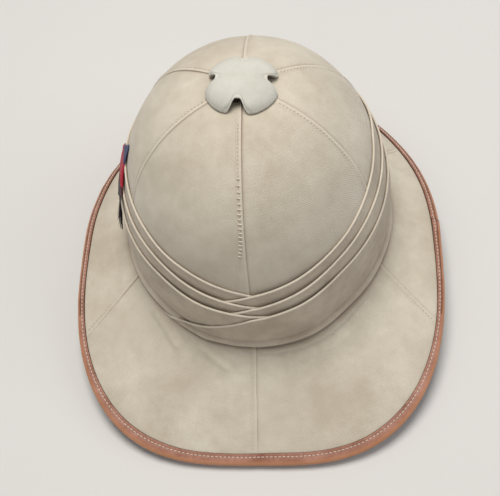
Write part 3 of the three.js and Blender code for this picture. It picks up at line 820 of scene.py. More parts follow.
def build_brim_cover(s, drill, thread):
    """The six panels of the brim, with their creases and their topstitching."""
    per_degree = math.radians(1) * s.brim_half_width
    lines = []
    for number, seam, end in panels(BRIM_SEAMS):
        angle = panel_angles(seam, end, per_degree, 2.4 * MM)[:, None]
        width = brim_width(s, angle)
        first = OVER_COVER / width
        share = first + (1 - first) * BRIM_ROWS[None]
        base = brim_at(s, angle, share)
        speed = speed_round(s, angle, share)
        from_start, from_end = (angle - seam) * speed, (end - angle) * speed
        relief, soil_and_shade, wear_and_highlight = felled_seam(from_start, from_end, s.seam_band, 0.6)
        inward = (1 - share) * width
        held = smooth(inward / (12 * MM) - 0.75) * smooth(share * width / (8 * MM))
        outset = COVER_FACE + held * 0.3 * MM * unevenness(base, 0.05, 30 + number)
        outset = outset + relief * smooth(inward / (10 * MM) - 0.5)
        outset = np.maximum(outset + brim_relief(s, base) * held, FIT_GAP + 0.1 * MM)
        uv = np.stack([(angle - (seam + end) / 2) * speed, share * width], -1)
        # Painted contact shadow on the brim along the band's hem, and a fainter painted highlight on the
        # seams.
        hem = np.exp(-np.maximum(share * width - hem_reach(s, angle), 0) / (1.9 * MM))
        marks = {"soil_and_shade": soil_and_shade + hem, "wear_and_highlight": 0.45 * wear_and_highlight}
        outsets = (outset, np.minimum(outset - 0.2 * MM, FIT_GAP + 0.1 * MM))
        name = f"cover_brim_{number}"
        piece = skin(name, s, on_brim, outsets, angle, share, uv, marks, drill)
        ride(piece, "cover_cloth", f"brim_cover_{number}")
        wide = float(brim_width(s, float(seam)))
        line_share = np.linspace(9 * MM, wide - 9.5 * MM, 60) / wide
        where = seam + (s.seam_band - SEAM_INSET) / speed_round(s, seam, line_share)
        line = on_brim(s, where, line_share, COVER_FACE + 0.2 * MM)
        lines.append((line, brim_normal(s, where, line_share)))
    topstitch("stitches_brim", s, lines, thread)


def speed_round(s, angle, share):
    """Metres along the brim for each degree."""
    apart = brim_at(s, angle + 0.5, share) - brim_at(s, angle - 0.5, share)
    return np.linalg.norm(apart, axis=-1)


def distance_to_line(points, line):
    """Distance of points from a line through several points."""
    best = np.full(points.shape[:-1], 1.0)
    for a, b in zip(line[:-1], line[1:]):
        way = b - a
        t = np.clip(((points - a) @ way) / (way @ way), 0, 1)
        best = np.minimum(best, np.linalg.norm(points - a - t[..., None] * way, axis=-1))
    return best


def brim_relief(s, points):
    """Height of the creases and soft ridges of the brim's cover."""
    total = np.zeros(points.shape[:-1])
    for crease, height, half_width in BRIM_CREASES:
        line = [brim_at(s, float(a), far * MM / float(brim_width(s, float(a)))) for a, far in crease]
        total = total + height * MM * bump(distance_to_line(points, line), half_width * MM)
    return total


def hem_reach(s, angle):
    """How far down the brim from the crown the band's hem lies."""
    stacked = crossing_share(np.mod(angle, 180))
    flare = HEM_FLARE * lerp(1, HEM_FLARE_STACKED, stacked)
    out = seat_over(2 + 2.5 * stacked) + flare + PLEAT_CLOTH
    level = np.linalg.norm((brim_edge(s, angle) - crown_loop(s, angle))[..., :2], axis=-1)
    return out * brim_width(s, angle) / level


def seat_over(layers):
    """Outset of what lies on the cover and on this many layers of pleats."""
    return OVER_COVER + layers * (PLEAT_CLOTH + FIT_GAP)


def crossing_share(turn):
    """1 where both sides' pleats lie on each other and 0 elsewhere."""
    from_middle = np.minimum(np.abs(turn), np.abs(180 - turn))
    return smooth((CROSSING_TO - from_middle) / (CROSSING_TO - CROSSING_FROM))


def pleat_layer(order, turn, right):
    """How many layers of the band a pleat lies on."""
    stacked = crossing_share(turn)
    own = order * (1 + stacked)
    if not right:
        return own
    on_own_side = (turn >= 0) & (turn <= 180)
    return np.where(on_own_side, own + stacked, own + 1)


def pleat_top(s, pleat, turn):
    """Height of a pleat's folded edge."""
    from_middle = 90 - np.sqrt((90 - turn) ** 2 + SIDE_EASE**2)
    climbed = 1 - (1 - np.maximum(from_middle, 0) / 90) ** pleat["climb"]
    main = lerp(pleat["low"], pleat["side"], climbed)
    tail = pleat["low"] + pleat["drop"] * from_middle / pleat["tail"]
    return s.crown_height * np.where(from_middle < 0, tail, main)


def hem_height(s, angle, outset):
    """Height of the cover under a point of the hem."""
    share = outset / brim_width(s, angle)
    return on_brim(s, angle, share, OVER_COVER)[..., 2] - s.junction_height


def rolled_fold(radius, rows):
    """Outer and inner points of a rolled fold: how far out from the seat and how far down."""
    over = np.radians(np.linspace(90, -25, rows))
    behind = np.radians(np.linspace(90, 180, rows))
    outer = np.stack([radius * (1 + np.cos(over)), radius * (1 - np.sin(over))], -1)
    inner = np.stack([radius * (1 + np.cos(behind)), radius * (1 - np.sin(behind))], -1)
    return outer, inner


def pleat_rows(deep, seat, radius, finer):
    """Distance out and down of a pleat's outer and inner rows: its rolled fold, then its body."""
    near = [0.012, 0.03, 0.055, 0.085, 0.12, 0.16, 0.2]
    below = np.concatenate([near, np.linspace(0.25, 1, 30 if finer else 12)])
    faces = []
    for fold, is_outer in zip(rolled_fold(1.0, 9), (True, False)):
        out = seat[:, None] + radius[:, None] * fold[None, :, 0]
        down = radius[:, None] * fold[None, :, 1]
        start = down[:, -1:]
        lower = start + (deep[:, None] - start) * below[None]
        body = np.broadcast_to(seat[:, None], lower.shape)
        if is_outer:
            settle = smooth((lower - start) / (3 * MM))
            flat = seat[:, None] + PLEAT_CLOTH * lerp(1.25, 1.0, settle)
            join = np.exp(-((lower - start) / (0.9 * MM)) ** 2)
            body = lerp(flat, out[:, -1:], join)
        faces.append((np.concatenate([out, body], 1), np.concatenate([down, lower], 1)))
    return faces


def build_pleat(s, order, right, material):
    """One pleat of the band, from its tail past the crossing round its side to the other end."""
    side = RIGHT_PLEATS if right else LEFT_PLEATS
    pleat = side[order]
    last = order == len(side) - 1
    tail = pleat["tail"]
    turn = np.linspace(-tail, 180 + tail, int((180 + 2 * tail) / PLEAT_STEP))
    angle = -turn if right else turn
    seed = 50 + 10 * order + (5 if right else 0)
    sway = unevenness(np.stack([angle * BAND_PER_DEGREE, 0 * angle, 0 * angle], -1), 0.05, seed)
    top = pleat_top(s, pleat, turn) + 0.3 * MM * sway * np.where(np.abs(90 - turn) < 88, 1, 0.4)
    seat = seat_over(pleat_layer(order, turn, right))
    stacked = crossing_share(turn)
    flare = np.zeros_like(turn)
    if last:
        flare = HEM_FLARE * lerp(1, HEM_FLARE_STACKED, stacked)
        bottom = hem_height(s, angle, seat + flare + PLEAT_CLOTH)
        top = np.maximum(top, bottom + PLEAT_CLOTH)
    else:
        nearest = np.clip(turn, 0, 180)
        bottom = top - pleat_top(s, pleat, nearest)
        bottom = bottom + pleat_top(s, side[order + 1], nearest) - PLEAT_OVERLAP
    deep = top - bottom
    radius = np.minimum(s.fold_radius, 0.4 * deep)
    (outer_out, outer_down), (inner_out, inner_down) = pleat_rows(deep, seat, radius, last)
    up = deep[:, None] - outer_down
    if last:
        roomy = smooth(deep[:, None] / (14 * MM) - 0.3)
        for out, down in ((outer_out, outer_down), (inner_out, inner_down)):
            above = deep[:, None] - down
            out += flare[:, None] * np.maximum(0, 1 - above / HEM_FLARE_HEIGHT) ** 2
        for (where, half_width, height), sign in ((HEM_RIDGE, 1), (HEM_HOLLOW, -1)):
            outer_out += sign * roomy * height * bump(up - where, half_width)
        outer_out -= 0.7 * MM * np.clip(1 - up / (0.7 * MM), 0, 1) ** 2
    spot = crown_at(s, angle[:, None], np.maximum((top[:, None] - outer_down), 0))
    length_way = angle[:, None] * BAND_PER_DEGREE * (0.25 if last else 0.35)
    wrinkle_place = np.stack([length_way + 0 * outer_down, outer_down * 2, spot[..., 2] * 0.4], -1)
    wrinkles = 0.1 * MM * unevenness(wrinkle_place, 0.011, seed + 1)
    wrinkles = wrinkles + 0.15 * MM * unevenness(wrinkle_place, 0.026, seed + 2)
    calm = smooth((outer_down - 2.6 * MM) / (4 * MM)) * smooth(up / (3 * MM))
    calm = calm * (1 - 0.5 * stacked[:, None])
    outer_out = outer_out + (3.2 if last else 1.0) * wrinkles * calm
    outer = hem_point(s, angle[:, None], top[:, None] - outer_down, outer_out)
    inner = hem_point(s, angle[:, None], top[:, None] - inner_down, inner_out)
    u = np.broadcast_to(np.radians(angle)[:, None] * s.crown_back, outer_down.shape)
    uv = np.stack([u, -outer_down], -1)
    # Painted highlight on the fold's rolled edge, and painted shade in the hollow below it.
    wear_and_highlight = bump(outer_down - 0.45 * MM, 0.75 * MM)
    soil_and_shade = 0.3 * bump(outer_down - 2.4 * MM, 0.9 * MM)
    if last:
        # On the hem: a painted highlight on its ridge, painted shade in its hollow and a painted contact
        # shadow along its foot.
        wear_and_highlight = np.maximum(wear_and_highlight, 0.32 * bump(up - 4.2 * MM, 1.6 * MM))
        soil_and_shade = np.maximum(soil_and_shade, 0.4 * bump(up - 8.6 * MM, 1.8 * MM))
        soil_and_shade = np.maximum(soil_and_shade, np.clip(1.5 * (1 - up / (2.0 * MM)), 0, 1))
    marks = {"wear_and_highlight": two_sided(wear_and_highlight, 0 * wear_and_highlight), "soil_and_shade": two_sided(soil_and_shade, 0 * soil_and_shade)}
    hand = "right" if right else "left"
    name = f"fold_{hand}_{order + 1}"
    rings = placed(s, two_sided(outer, inner))
    piece = loft(name, rings, False, two_sided(uv, uv), marks, material)
    ride(piece, "pleated_cotton", f"pleat_{hand}_{order + 1}")
    placed(s, outer)


def hem_point(s, angle, height, outset):
    """A point beside the crown, which may lie a little below its foot."""
    p = on_crown(s, angle, height, outset)
    p[..., 2] += np.minimum(height, 0)
    return p


def binding_reach(s, angle):
    """How far the leather reaches in over the brim."""
    return lerp(s.binding_side, s.binding_width, smooth((np.cos(np.radians(angle)) - 0.25) / 0.6))


def lap_rise(angle):
    """How far the end of the leather stands up where it laps over its start."""
    past = (angle - BINDING_JOIN) % 360
    fade = smooth(np.radians(past) * BRIM_RADIUS / LAP_FADE)
    return LAP_RISE * np.where(past < LAP_SPAN, 1 - fade, 0)


def edge_wander(s, angle):
    """Unevenness of the leather's cut edge."""
    return 0.25 * MM * unevenness(brim_at(s, angle, 1.0), 0.05, 73)


def build_binding(s, leather, thread):
    """The leather folded over the brim's edge, from its cut edge above round to the one below."""
    step = [BINDING_JOIN - 0.06, BINDING_JOIN + 0.06]
    angle = np.sort(np.concatenate([np.arange(0, 360, 0.5), step]))
    over = OVER_COVER + LEATHER
    under = -CORK_WALL - FIT_GAP - LEATHER
    middle = (over + under) / 2
    half = (over - under) / 2
    shoulder = -2.4 * MM
    tip = FIT_GAP + LEATHER - shoulder
    arc = np.radians(np.linspace(90, -90, 17))
    c, n = np.cos(arc), np.sin(arc)
    bow_out, bow_up = (np.sign(v) * np.abs(v) ** 0.8 for v in (c, n))
    flat = np.array([-8, -8.02, -7.85, -7.5, -7, -6.6, -6.2, -5.8, -5.3, -4.6, -3.8, -3]) * MM
    lift = np.array([-1.15, -0.5, -0.12, 0, 0, 0.03, 0, -0.14, -0.26, -0.12, 0.02, 0.0]) * MM
    stitched = flat[8]
    back = np.array([-3.5, -5, -6.5, -8]) * MM
    reach = np.concatenate([flat, shoulder + tip * bow_out, back])
    inner_reach = np.concatenate([flat, shoulder + (tip - LEATHER) * bow_out, back])
    height = np.concatenate([over + lift, middle + half * bow_up, np.full(4, under)])
    inner_height = np.concatenate([
        np.full(len(flat), over - LEATHER), middle + (half - LEATHER) * bow_up, np.full(4, under + LEATHER)
    ])
    index = np.arange(len(reach))
    narrowing = binding_reach(s, angle)[:, None] / BINDING_DRAWN
    narrow = np.where(index < len(flat), narrowing, 1.0)
    wide = brim_width(s, angle)[:, None]
    loop = brim_at(s, angle, 1.0)
    wobble = 0.12 * MM * unevenness(loop, 0.03, 71) + 0.1 * MM * unevenness(loop, 0.012, 72)
    outward = (lap_rise(angle) + wobble)[:, None]
    wander = edge_wander(s, angle)[:, None] * np.clip(-reach / s.binding_width, 0, 1)[None]
    out_height = height[None] + np.where((height > middle)[None], outward, -0.3 * outward)
    out_reach = 1 + (reach[None] * narrow + wander) / wide
    in_reach = 1 + (inner_reach[None] * narrow + wander) / wide
    outer = on_brim(s, angle[:, None], out_reach, out_height)
    inner = on_brim(s, angle[:, None], in_reach, inner_height[None])
    rings = placed(s, two_sided(outer, inner))
    rings[..., 2] = np.maximum(rings[..., 2], 0)
    u = np.radians(angle) * s.brim_back
    uv = np.stack(np.broadcast_arrays(u[:, None], run_along(rings[0])[None]), -1)
    cut = np.interp(index, [1, 2, 3, 4], [1.0, 0.6, 0.18, 0.0])
    # Painted shade along the stitch groove.
    groove = 0.3 * bump(reach - stitched, 0.5 * MM) * (index < len(flat))
    # Painted highlight along the upper outer edge, partly rubbed leather as well.
    rubbed = 0.8 * bump(reach - 0.4 * MM, 2.0 * MM) * (height > middle - 1.5 * MM)
    # Painted shade on the lower half of the turn and underneath.
    turned_under = 0.75 * smooth((middle + 0.4 * MM - height) / (1.6 * MM)) * (index >= len(flat))
    soil_and_shade = np.broadcast_to((cut + groove + turned_under)[None], (len(angle), len(reach))).copy()
    dark = sum(share * bump((angle - at + 180) % 360 - 180, span) for at, span, share in DARK_STRETCHES)
    soil_and_shade = np.maximum(soil_and_shade, dark[:, None])
    past = (angle - BINDING_JOIN) % 360
    near_join = (past > 359.8) | (past < 0.3)
    soil_and_shade[near_join] = np.maximum(soil_and_shade[near_join], 0.75)
    wear_and_highlight = np.broadcast_to(rubbed[None], soil_and_shade.shape)
    marks = {"soil_and_shade": two_sided(soil_and_shade, soil_and_shade), "wear_and_highlight": two_sided(wear_and_highlight, 0 * wear_and_highlight)}
    piece = loft("binding_leather", rings, True, uv, marks, leather)
    ride(piece, "leather_binding", "edge_binding")

    dense = np.linspace(0, 360, 1441)
    inset = stitched * binding_reach(s, dense) / BINDING_DRAWN + 0.7 * edge_wander(s, dense)
    row = 1 + inset / brim_width(s, dense)
    line = on_brim(s, dense, row, over - 0.18 * MM + lap_rise(dense))
    starts, ends, normals = along_line(line, s.stitch_pitch, 0.72, brim_normal(s, dense, row))
    starts, ends = placed(s, starts), placed(s, ends)
    piece = stitch_mesh("stitches_binding", starts, ends, normals, BINDING_THREAD, thread)
    ride(piece, "leather_binding")


def cap_dome(radius, high, bottom, rise):
    """Radii and heights of the cap's rows at each station, from its lower edge to its top."""
    start = np.arcsin(np.clip(bottom / high, 0, 0.999) ** (CAP_SHOULDER_POWER / 2))[:, None]
    t = start + (math.pi / 2 - start) * rise[None]
    r = radius * np.maximum(np.cos(t), 0) ** (2 / CAP_SHOULDER_POWER)
    return r, high * np.sin(t) ** (2 / CAP_SHOULDER_POWER)


def build_cap(s, cloth):
    """The cap's dome. Its rim rises over each air notch in an arch with a rolled lip, and its
    corners beside the notches are rounded and curve in."""
    half_notch = math.degrees(s.notch_width / 2 / s.cap_radius)
    near = half_notch * np.linspace(-1.3, 0, 24)
    near = np.concatenate([near, -near[-2::-1]])
    parts = []
    for one, following in zip(NOTCH_TURNS, (*NOTCH_TURNS[1:], NOTCH_TURNS[0] + 360)):
        parts += [one + near, np.linspace(one + near[-1], following + near[0], 26)[1:-1]]
    azimuth = np.concatenate(parts)
    from_each = (azimuth[:, None] - np.array(NOTCH_TURNS) + 180) % 360 - 180
    from_notch = np.abs(from_each).min(1)
    aside = from_notch / half_notch
    arch = 0.5 + 0.5 * np.cos(math.pi * np.minimum(aside, 1) ** NOTCH_ARCH_POWER)
    from_side = (aside - NOTCH_SIDE) * s.notch_width / 2
    left = LOBE_ROUNDING - np.clip(from_side, 0, LOBE_ROUNDING)
    corner = LOBE_ROUNDING - np.sqrt(LOBE_ROUNDING**2 - left**2)
    arch = np.maximum(s.notch_height * arch, corner)
    tucked = LOBE_TUCK * np.clip(1 - from_side / LOBE_CURVE, 0, 1) ** 2

    rise = np.linspace(0, 1, 26) ** 1.15
    r, z = cap_dome(s.cap_radius, s.cap_height, arch, rise)
    low = np.minimum(arch, s.cap_height - 2 * CAP_WALL)
    r_in, z_in = cap_dome(s.cap_radius - CAP_WALL, s.cap_height - CAP_WALL, low, rise)
    run = run_along(np.stack([r, z], -1))
    side = np.maximum(0, from_notch - half_notch) * math.radians(1) * s.cap_radius
    past_side = np.hypot(side[:, None], np.maximum(0, z - s.notch_height * 0.6))
    arched = arch[:, None] > 0
    to_opening = np.where(arched, run, past_side)
    lip = 0.75 * MM * bump(to_opening - 1.0 * MM, 1.0 * MM)
    swell = np.maximum(lip, 0.35 * MM * bump(run - 0.9 * MM, 1.1 * MM))
    a = np.radians(azimuth)[:, None]
    uneven = unevenness(np.stack([r * np.sin(a), r * np.cos(a), z], -1), 0.016, 91)
    out_z = z + swell * np.clip(z / s.cap_height, 0, 1)
    out_z = out_z + 0.18 * MM * uneven * smooth(run / (3 * MM))
    round_off = 0.5 * MM * np.clip(1 - run / (0.8 * MM), 0, 1) ** 2
    inward = tucked[:, None] * smooth(1 - run / (9 * MM))
    out_r = r + swell * np.clip(r / s.cap_radius, 0, 1) - inward
    out_r = out_r - round_off * np.where(arched, 0.1, 1)
    seat_height = height_at_plan(s, s.cap_radius / s.crown_back)
    seat = on_crown(s, 90.0, seat_height, OVER_COVER)[2]
    rows = ((out_r, out_z), (r_in - inward, z_in))
    outer, inner = (np.stack([r * np.sin(a), r * np.cos(a), seat + z], -1) for r, z in rows)
    uv = outer[..., :2]
    # Painted contact shadow round the rim's foot, painted highlight on the notches' rolled lips and
    # painted shade over the whole inner face.
    soil_and_shade = 0.75 * bump(run, 0.55 * MM)
    wear_and_highlight = 0.5 * bump(to_opening - 1 * MM, 1.2 * MM)
    marks = {"soil_and_shade": two_sided(soil_and_shade, 0.9 + 0 * soil_and_shade), "wear_and_highlight": two_sided(wear_and_highlight, 0 * wear_and_highlight)}
    rings = placed(s, two_sided(outer, inner))
    piece = loft("ventilator_cloth", rings, True, two_sided(uv, uv), marks, cloth)
    ride(piece, "cap_cloth", "ventilator_cap")


def flash_path(s):
    """Heights and seats of the flash, from its upper corner down over the three folds."""
    tops = [pleat["side"] * s.crown_height + FLASH_RISE for pleat in LEFT_PLEATS]
    folds = [(top, seat_over(k)) for k, top in enumerate(tops, 1)]
    middle = folds[1][0] - FLASH_DROP
    upper = (middle + s.flash_half_height, seat_over(0))
    lower = (middle - s.flash_half_height, seat_over(len(folds)))
    return np.array([upper, folds[0], folds[1], (middle, folds[1][1]), folds[2], lower])


def build_flash(s, ribbon, strand):
    """The diamond of ribbon, thickest in its turned edges, and the threads of its lower corner."""
    path = flash_path(s)
    top, bottom = path[0, 0], path[-1, 0]
    middle = (top + bottom) / 2
    per_degree = math.radians(1) * s.crown_half_width
    height = np.linspace(top, bottom, 72)[None]
    half = lerp(FLASH_CORNER, s.flash_half_width, 1 - np.abs(height - middle) / s.flash_half_height)
    aside = np.sin(np.linspace(-1, 1, 44) * math.pi / 2)[:, None] * half
    angle = FLASH_MIDDLE + aside / per_degree
    straight = np.interp(-height, -path[:, 0], path[:, 1])
    kernel = np.array([1, 2, 3, 2, 1]) / 9
    rounded = np.convolve(np.pad(straight[0], 2, mode="edge"), kernel, mode="valid")[None]
    seat = np.maximum(rounded, straight)
    place = crown_at(s, angle, height)
    edge = (half - np.abs(aside)) * 0.75
    wave = 0.28 * MM * unevenness(place, 0.016, 121) + 0.22 * MM
    hem = 0.4 * MM * bump(edge - 1.3 * MM, 1.1 * MM) - 0.55 * MM * bump(edge, 0.5 * MM)
    thin = 0.4 + 0.6 * smooth((top - height) / (18 * MM))
    outer = on_crown(s, angle, height, seat + thin * (FLASH_CLOTH + wave + hem))
    inner = on_crown(s, angle, height, seat + 0 * wave)
    rings = placed(s, two_sided(outer, inner))
    uv = np.stack(np.broadcast_arrays(aside, top - height), -1)
    patch = loft("flash_ribbon", rings, False, two_sided(uv, uv), None, ribbon)
    ride(patch, "flash_cloth", "flash")
    fringe = build_fringe(s, bottom, per_degree, strand)
    placed(s, outer)


def build_fringe(s, bottom, per_degree, strand):
    """The loose threads of the flash, lock by lock, from its two lower edges."""
    rng = np.random.default_rng(7)
    share = np.linspace(0, 1, 9)
    lines = []
    for lock in FRAY_LOCKS:
        root = lock["place"] * s.flash_half_width
        past = max(0, abs(root) - FLASH_CORNER) / (s.flash_half_width - FLASH_CORNER)
        edge = bottom + past * s.flash_half_height
        for _ in range(int(14 + 22 * lock["length"])):
            spread = rng.uniform(-0.5, 0.5)
            reach = s.fray_length * lock["length"] * rng.uniform(0.5, 1.15)
            lift = 4.5 * MM * lock["lift"] * rng.uniform(0.5, 1.1)
            width = lerp(4.2 * MM, 1.2 * MM + 1.6 * MM * rng.uniform(), share)
            curl = 0.6 * MM * np.sin(share * rng.uniform(3, 7) + rng.uniform(0, 6)) * share
            a = FLASH_MIDDLE + (root + spread * width + curl) / per_degree
            a = a - lock["lean"] * share**2 * rng.uniform(0.8, 1.15)
            h = edge + 2 * MM - reach * share
            out = seat_over(3) + FLASH_CLOTH * rng.uniform(0.3, 0.9) + lift * share**2
            lines.append(placed(s, on_crown(s, a, h, out + 0.25 * MM)))
    fringe = strands("flash_fringe", lines, 0.22 * MM, strand)
    return ride(fringe, "flash_cloth")


def strands(name, lines, radius, material):
    """Thin threads along lines of points, tapered at their tips."""
    sides = 5
    points, faces = [], []
    turn = 2 * math.pi * np.arange(sides) / sides
    for line in lines:
        way = np.gradient(line, axis=0)
        way /= np.linalg.norm(way, axis=-1, keepdims=True)
        side = np.cross(way, np.array([0.31, 0.17, 0.94]))
        side /= np.linalg.norm(side, axis=-1, keepdims=True)
        other = np.cross(way, side)
        base = len(points) * len(line) * sides
        thick = radius * np.linspace(1, 0.45, len(line))[:, None, None]
        c, n = np.cos(turn)[None, :, None], np.sin(turn)[None, :, None]
        ring = side[:, None] * c + other[:, None] * n
        points.append(line[:, None] + thick * ring)
        for r in range(len(line) - 1):
            for k in range(sides):
                n = (k + 1) % sides
                a, b = base + r * sides, base + (r + 1) * sides
                faces.append((a + k, a + n, b + n, b + k))
        faces.append(tuple(base + k for k in range(sides)))
        faces.append(tuple(base + (len(line) - 1) * sides + k for k in range(sides)))
    return piece_from(name, np.concatenate(points).reshape(-1, 3), faces, material=material)


def build_stage():
    """The floor, the soft light and the camera."""
    material, tree, shader = blank("pale_paper_backdrop", **{"Specular IOR Level": 0.1})
    place = add(tree, "ShaderNodeTexCoord").outputs["Object"]
    speck = add(tree, "ShaderNodeTexNoise", {"Vector": place, "Scale": 3, "Detail": 3})
    pale, paler = (*linear("#dcdad6"), 1), (*linear("#e2e0dc"), 1)
    layers = [(speck.outputs[0], paler, "MIX")]
    dress(tree, shader, pale, layers, {0: speck.outputs[0], 3: 0.9, 4: 1.0})
    corners = FLOOR_HALF * np.array([[-1, -1, 0], [1, -1, 0], [1, 1, 0], [-1, 1, 0]])
    floor = piece_from("floor", corners, [(0, 1, 2, 3)], material=material)

    world = bpy.data.worlds.new("soft_room")
    bpy.context.scene.world = world
    world.use_nodes = True
    background = world.node_tree.nodes["Background"]
    background.inputs[0].default_value = (*linear(ROOM_LIGHT[0]), 1)
    background.inputs[1].default_value = ROOM_LIGHT[1]

    for name, where, size, power, code in LAMPS:
        lamp = bpy.data.lights.new(name, "AREA")
        lamp.shape = "DISK"
        lamp.size = size
        lamp.energy = power
        lamp.color = linear(code)
        holder = bpy.data.objects.new(name, lamp)
        holder.location = where
        aim = Vector(LAMP_AIM) - Vector(where)
        holder.rotation_euler = aim.to_track_quat("-Z", "Y").to_euler()
        bpy.context.scene.collection.objects.link(holder)

    camera = bpy.data.objects.new("camera", bpy.data.cameras.new("camera"))
    forward = Vector(CAMERA_WAY).normalized()
    level = forward.cross(Vector((0, 0, 1))).normalized()
    upward = level.cross(forward)
    roll = math.radians(CAMERA_ROLL)
    right = math.cos(roll) * level - math.sin(roll) * upward
    up = math.sin(roll) * level + math.cos(roll) * upward
    turn = Matrix((right, up, -forward)).transposed().to_4x4()
    camera.matrix_world = Matrix.Translation(CAMERA_EYE) @ turn
    camera.data.lens = CAMERA_LENS
    camera.data.sensor_width = 36
    camera.data.shift_x, camera.data.shift_y = CAMERA_SHIFT
    camera.data.clip_start = 0.01
    bpy.context.scene.collection.objects.link(camera)
    bpy.context.scene.camera = camera
    bpy.context.scene.view_settings.view_transform = "Standard"


class HELMET_OT_shell(bpy.types.Operator):
    """Build the cork shell with its plain cotton lining"""

    bl_idname = "helmet.shell"
    bl_label = "Shell and Lining"

    def execute(self, context):
        build_shell(sizes())
        return {"FINISHED"}


class HELMET_OT_covers(bpy.types.Operator):
    """Build the drill covers of the crown and the brim, with their felled seams"""

    bl_idname = "helmet.covers"
    bl_label = "Cloth Covers"

    def execute(self, context):
        s = sizes()
        # Drill is dull and faintly napped, with slanting lines. They are 0.6 mm apart in the
        # real cloth and are drawn 1.2 mm apart, so they show. On the brim, where it is
        # stretched and glued, it is smoother and takes stains.
        spots = [
            ((-0.03, 0.095, 0.09), 0.042, 0.5),
            ((-0.05, 0.05, 0.15), 0.045, 0.12),
            ((0.036, 0.09, 0.09), 0.045, 0.55),
            ((-0.08, 0.04, 0.1), 0.045, 0.3),
            ((0.075, 0.05, 0.085), 0.045, 0.5),
        ]
        crown = woven(
            "cotton_drill_woven_and_bleached", "drill_light", "drill_shade", "drill_soil_and_shade",
            1.2 * MM, 0.8 * MM, 0.05 * MM, spots,
        )
        stains = [
            ((0.05, 0.13, 0.03), 0.02, 0.16),
            ((0.068, 0.122, 0.022), 0.003, 0.3),
            ((0.061, 0.131, 0.02), 0.003, 0.4),
            ((0.03, 0.165, 0.012), 0.006, 0.14),
            ((-0.02, 0.15, 0.02), 0.03, 0.14),
            ((0.08, 0.08, 0.035), 0.03, 0.14),
        ]
        brim = woven(
            "cotton_drill_stretched_and_glued", "drill_light", "drill_shade", "drill_soil_and_shade",
            1.2 * MM, 0.8 * MM, 0.07 * MM, stains,
        )
        thread = thread_material("cotton_thread_spun", "drill_light", "drill_soil_and_shade")
        build_crown_cover(s, crown, thread)
        build_brim_cover(s, brim, thread)
        return {"FINISHED"}


class HELMET_OT_pleats(bpy.types.Operator):
    """Build the six folds of the pleated band"""

    bl_idname = "helmet.pleats"
    bl_label = "Pleated Band"

    def execute(self, context):
        s = sizes()
        # Fine cotton twill, pressed in folds whose rubbed edges are paler than their faces; the paler
        # edges are also a painted highlight. Its lines are 0.4 mm apart and are drawn 1 mm apart, so that
        # they show.
        material = woven(
            "cotton_twill_folded_and_pressed", "cotton_light", "cotton_shade", "drill_soil_and_shade",
            1.0 * MM, 0.7 * MM, 0.07 * MM, rub_and_highlight="cotton_rubbed_and_lit",
        )
        for order in range(len(LEFT_PLEATS)):
            build_pleat(s, order, False, material)
            build_pleat(s, order, True, material)
        return {"FINISHED"}


class HELMET_OT_binding(bpy.types.Operator):
    """Build the stitched leather binding of the brim"""

    bl_idname = "helmet.binding"
    bl_label = "Leather Binding"

    def execute(self, context):
        # Waxed linen is pale and a little glossy against the leather
        thread = thread_material("linen_thread_waxed", "thread", "leather_dark")
        build_binding(sizes(), leather_material(), thread)
        return {"FINISHED"}


class HELMET_OT_cap(bpy.types.Operator):
    """Build the cloth-covered ventilator cap with its air notches"""

    bl_idname = "helmet.cap"
    bl_label = "Ventilator Cap"

    def execute(self, context):
        # Cotton moulded over a tin dome and whitened with pipeclay, which fills the weave: cool
        # white, matt and almost smooth. Threads 0.4 mm apart are drawn 0.9 mm apart.
        cloth = woven(
            "cotton_moulded_and_whitened", "cap_light", "cap_shade", "drill_soil_and_shade",
            0.9 * MM, 0.8 * MM, 0.04 * MM, sheen=0.1, soil_and_shade_share=0.8,
        )
        build_cap(sizes(), cloth)
        return {"FINISHED"}


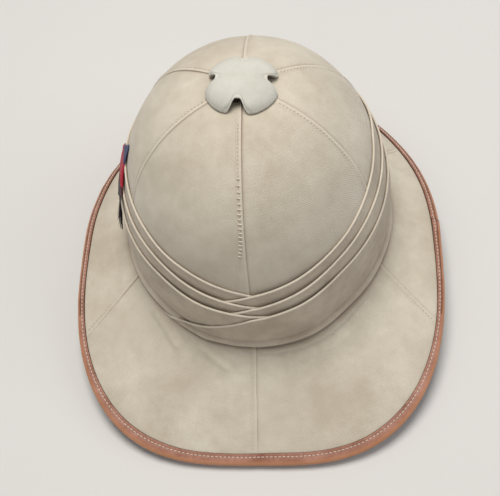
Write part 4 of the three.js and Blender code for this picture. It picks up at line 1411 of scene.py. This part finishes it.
class HELMET_OT_flash(bpy.types.Operator):
    """Build the woven flash and its frayed end"""

    bl_idname = "helmet.flash"
    bl_label = "Cloth Flash"

    def execute(self, context):
        begins = {"blue": 0, "red": 9, "maroon": 21, "black": 29}  # millimetres from the top
        stripes = [(begin * MM, f"flash_{code}") for code, begin in begins.items()]
        strand = thread_material("worsted_yarn_frayed", "flash_black", "flash_maroon")
        build_flash(sizes(), flash_material(stripes, 1.2 * MM), strand)
        return {"FINISHED"}


class HELMET_OT_stage(bpy.types.Operator):
    """Set up the floor, the soft light and the camera"""

    bl_idname = "helmet.stage"
    bl_label = "Stage"

    def execute(self, context):
        build_stage()
        return {"FINISHED"}


class HELMET_PT_panel(bpy.types.Panel):
    """Lists the helmet's pieces, sizes and colours"""

    bl_label = "Pith Helmet"
    bl_idname = "HELMET_PT_panel"
    bl_space_type = "VIEW_3D"
    bl_region_type = "UI"
    bl_category = "Helmet"

    def draw(self, context):
        column = self.layout.column()
        for operator in OPERATORS:
            column.operator(operator.bl_idname)
        for group in (context.scene.helmet_shape, context.scene.helmet_finish):
            box = self.layout.box()
            for name in group.__annotations__:
                box.prop(group, name)


OPERATORS = [
    HELMET_OT_shell,
    HELMET_OT_covers,
    HELMET_OT_pleats,
    HELMET_OT_binding,
    HELMET_OT_cap,
    HELMET_OT_flash,
    HELMET_OT_stage,
]
CLASSES = [HelmetShape, HelmetFinish, *OPERATORS, HELMET_PT_panel]


def register():
    for cls in CLASSES:
        bpy.utils.register_class(cls)
    bpy.types.Scene.helmet_shape = PointerProperty(type=HelmetShape)
    bpy.types.Scene.helmet_finish = PointerProperty(type=HelmetFinish)


def unregister():
    del bpy.types.Scene.helmet_finish
    del bpy.types.Scene.helmet_shape
    for cls in reversed(CLASSES):
        bpy.utils.unregister_class(cls)


def main():
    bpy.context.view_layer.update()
    register()
    bpy.ops.helmet.stage()
    bpy.ops.helmet.shell()
    bpy.ops.helmet.covers()
    bpy.ops.helmet.pleats()
    bpy.ops.helmet.binding()
    bpy.ops.helmet.cap()
    bpy.ops.helmet.flash()
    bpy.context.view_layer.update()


if __name__ == "__main__":
    main()
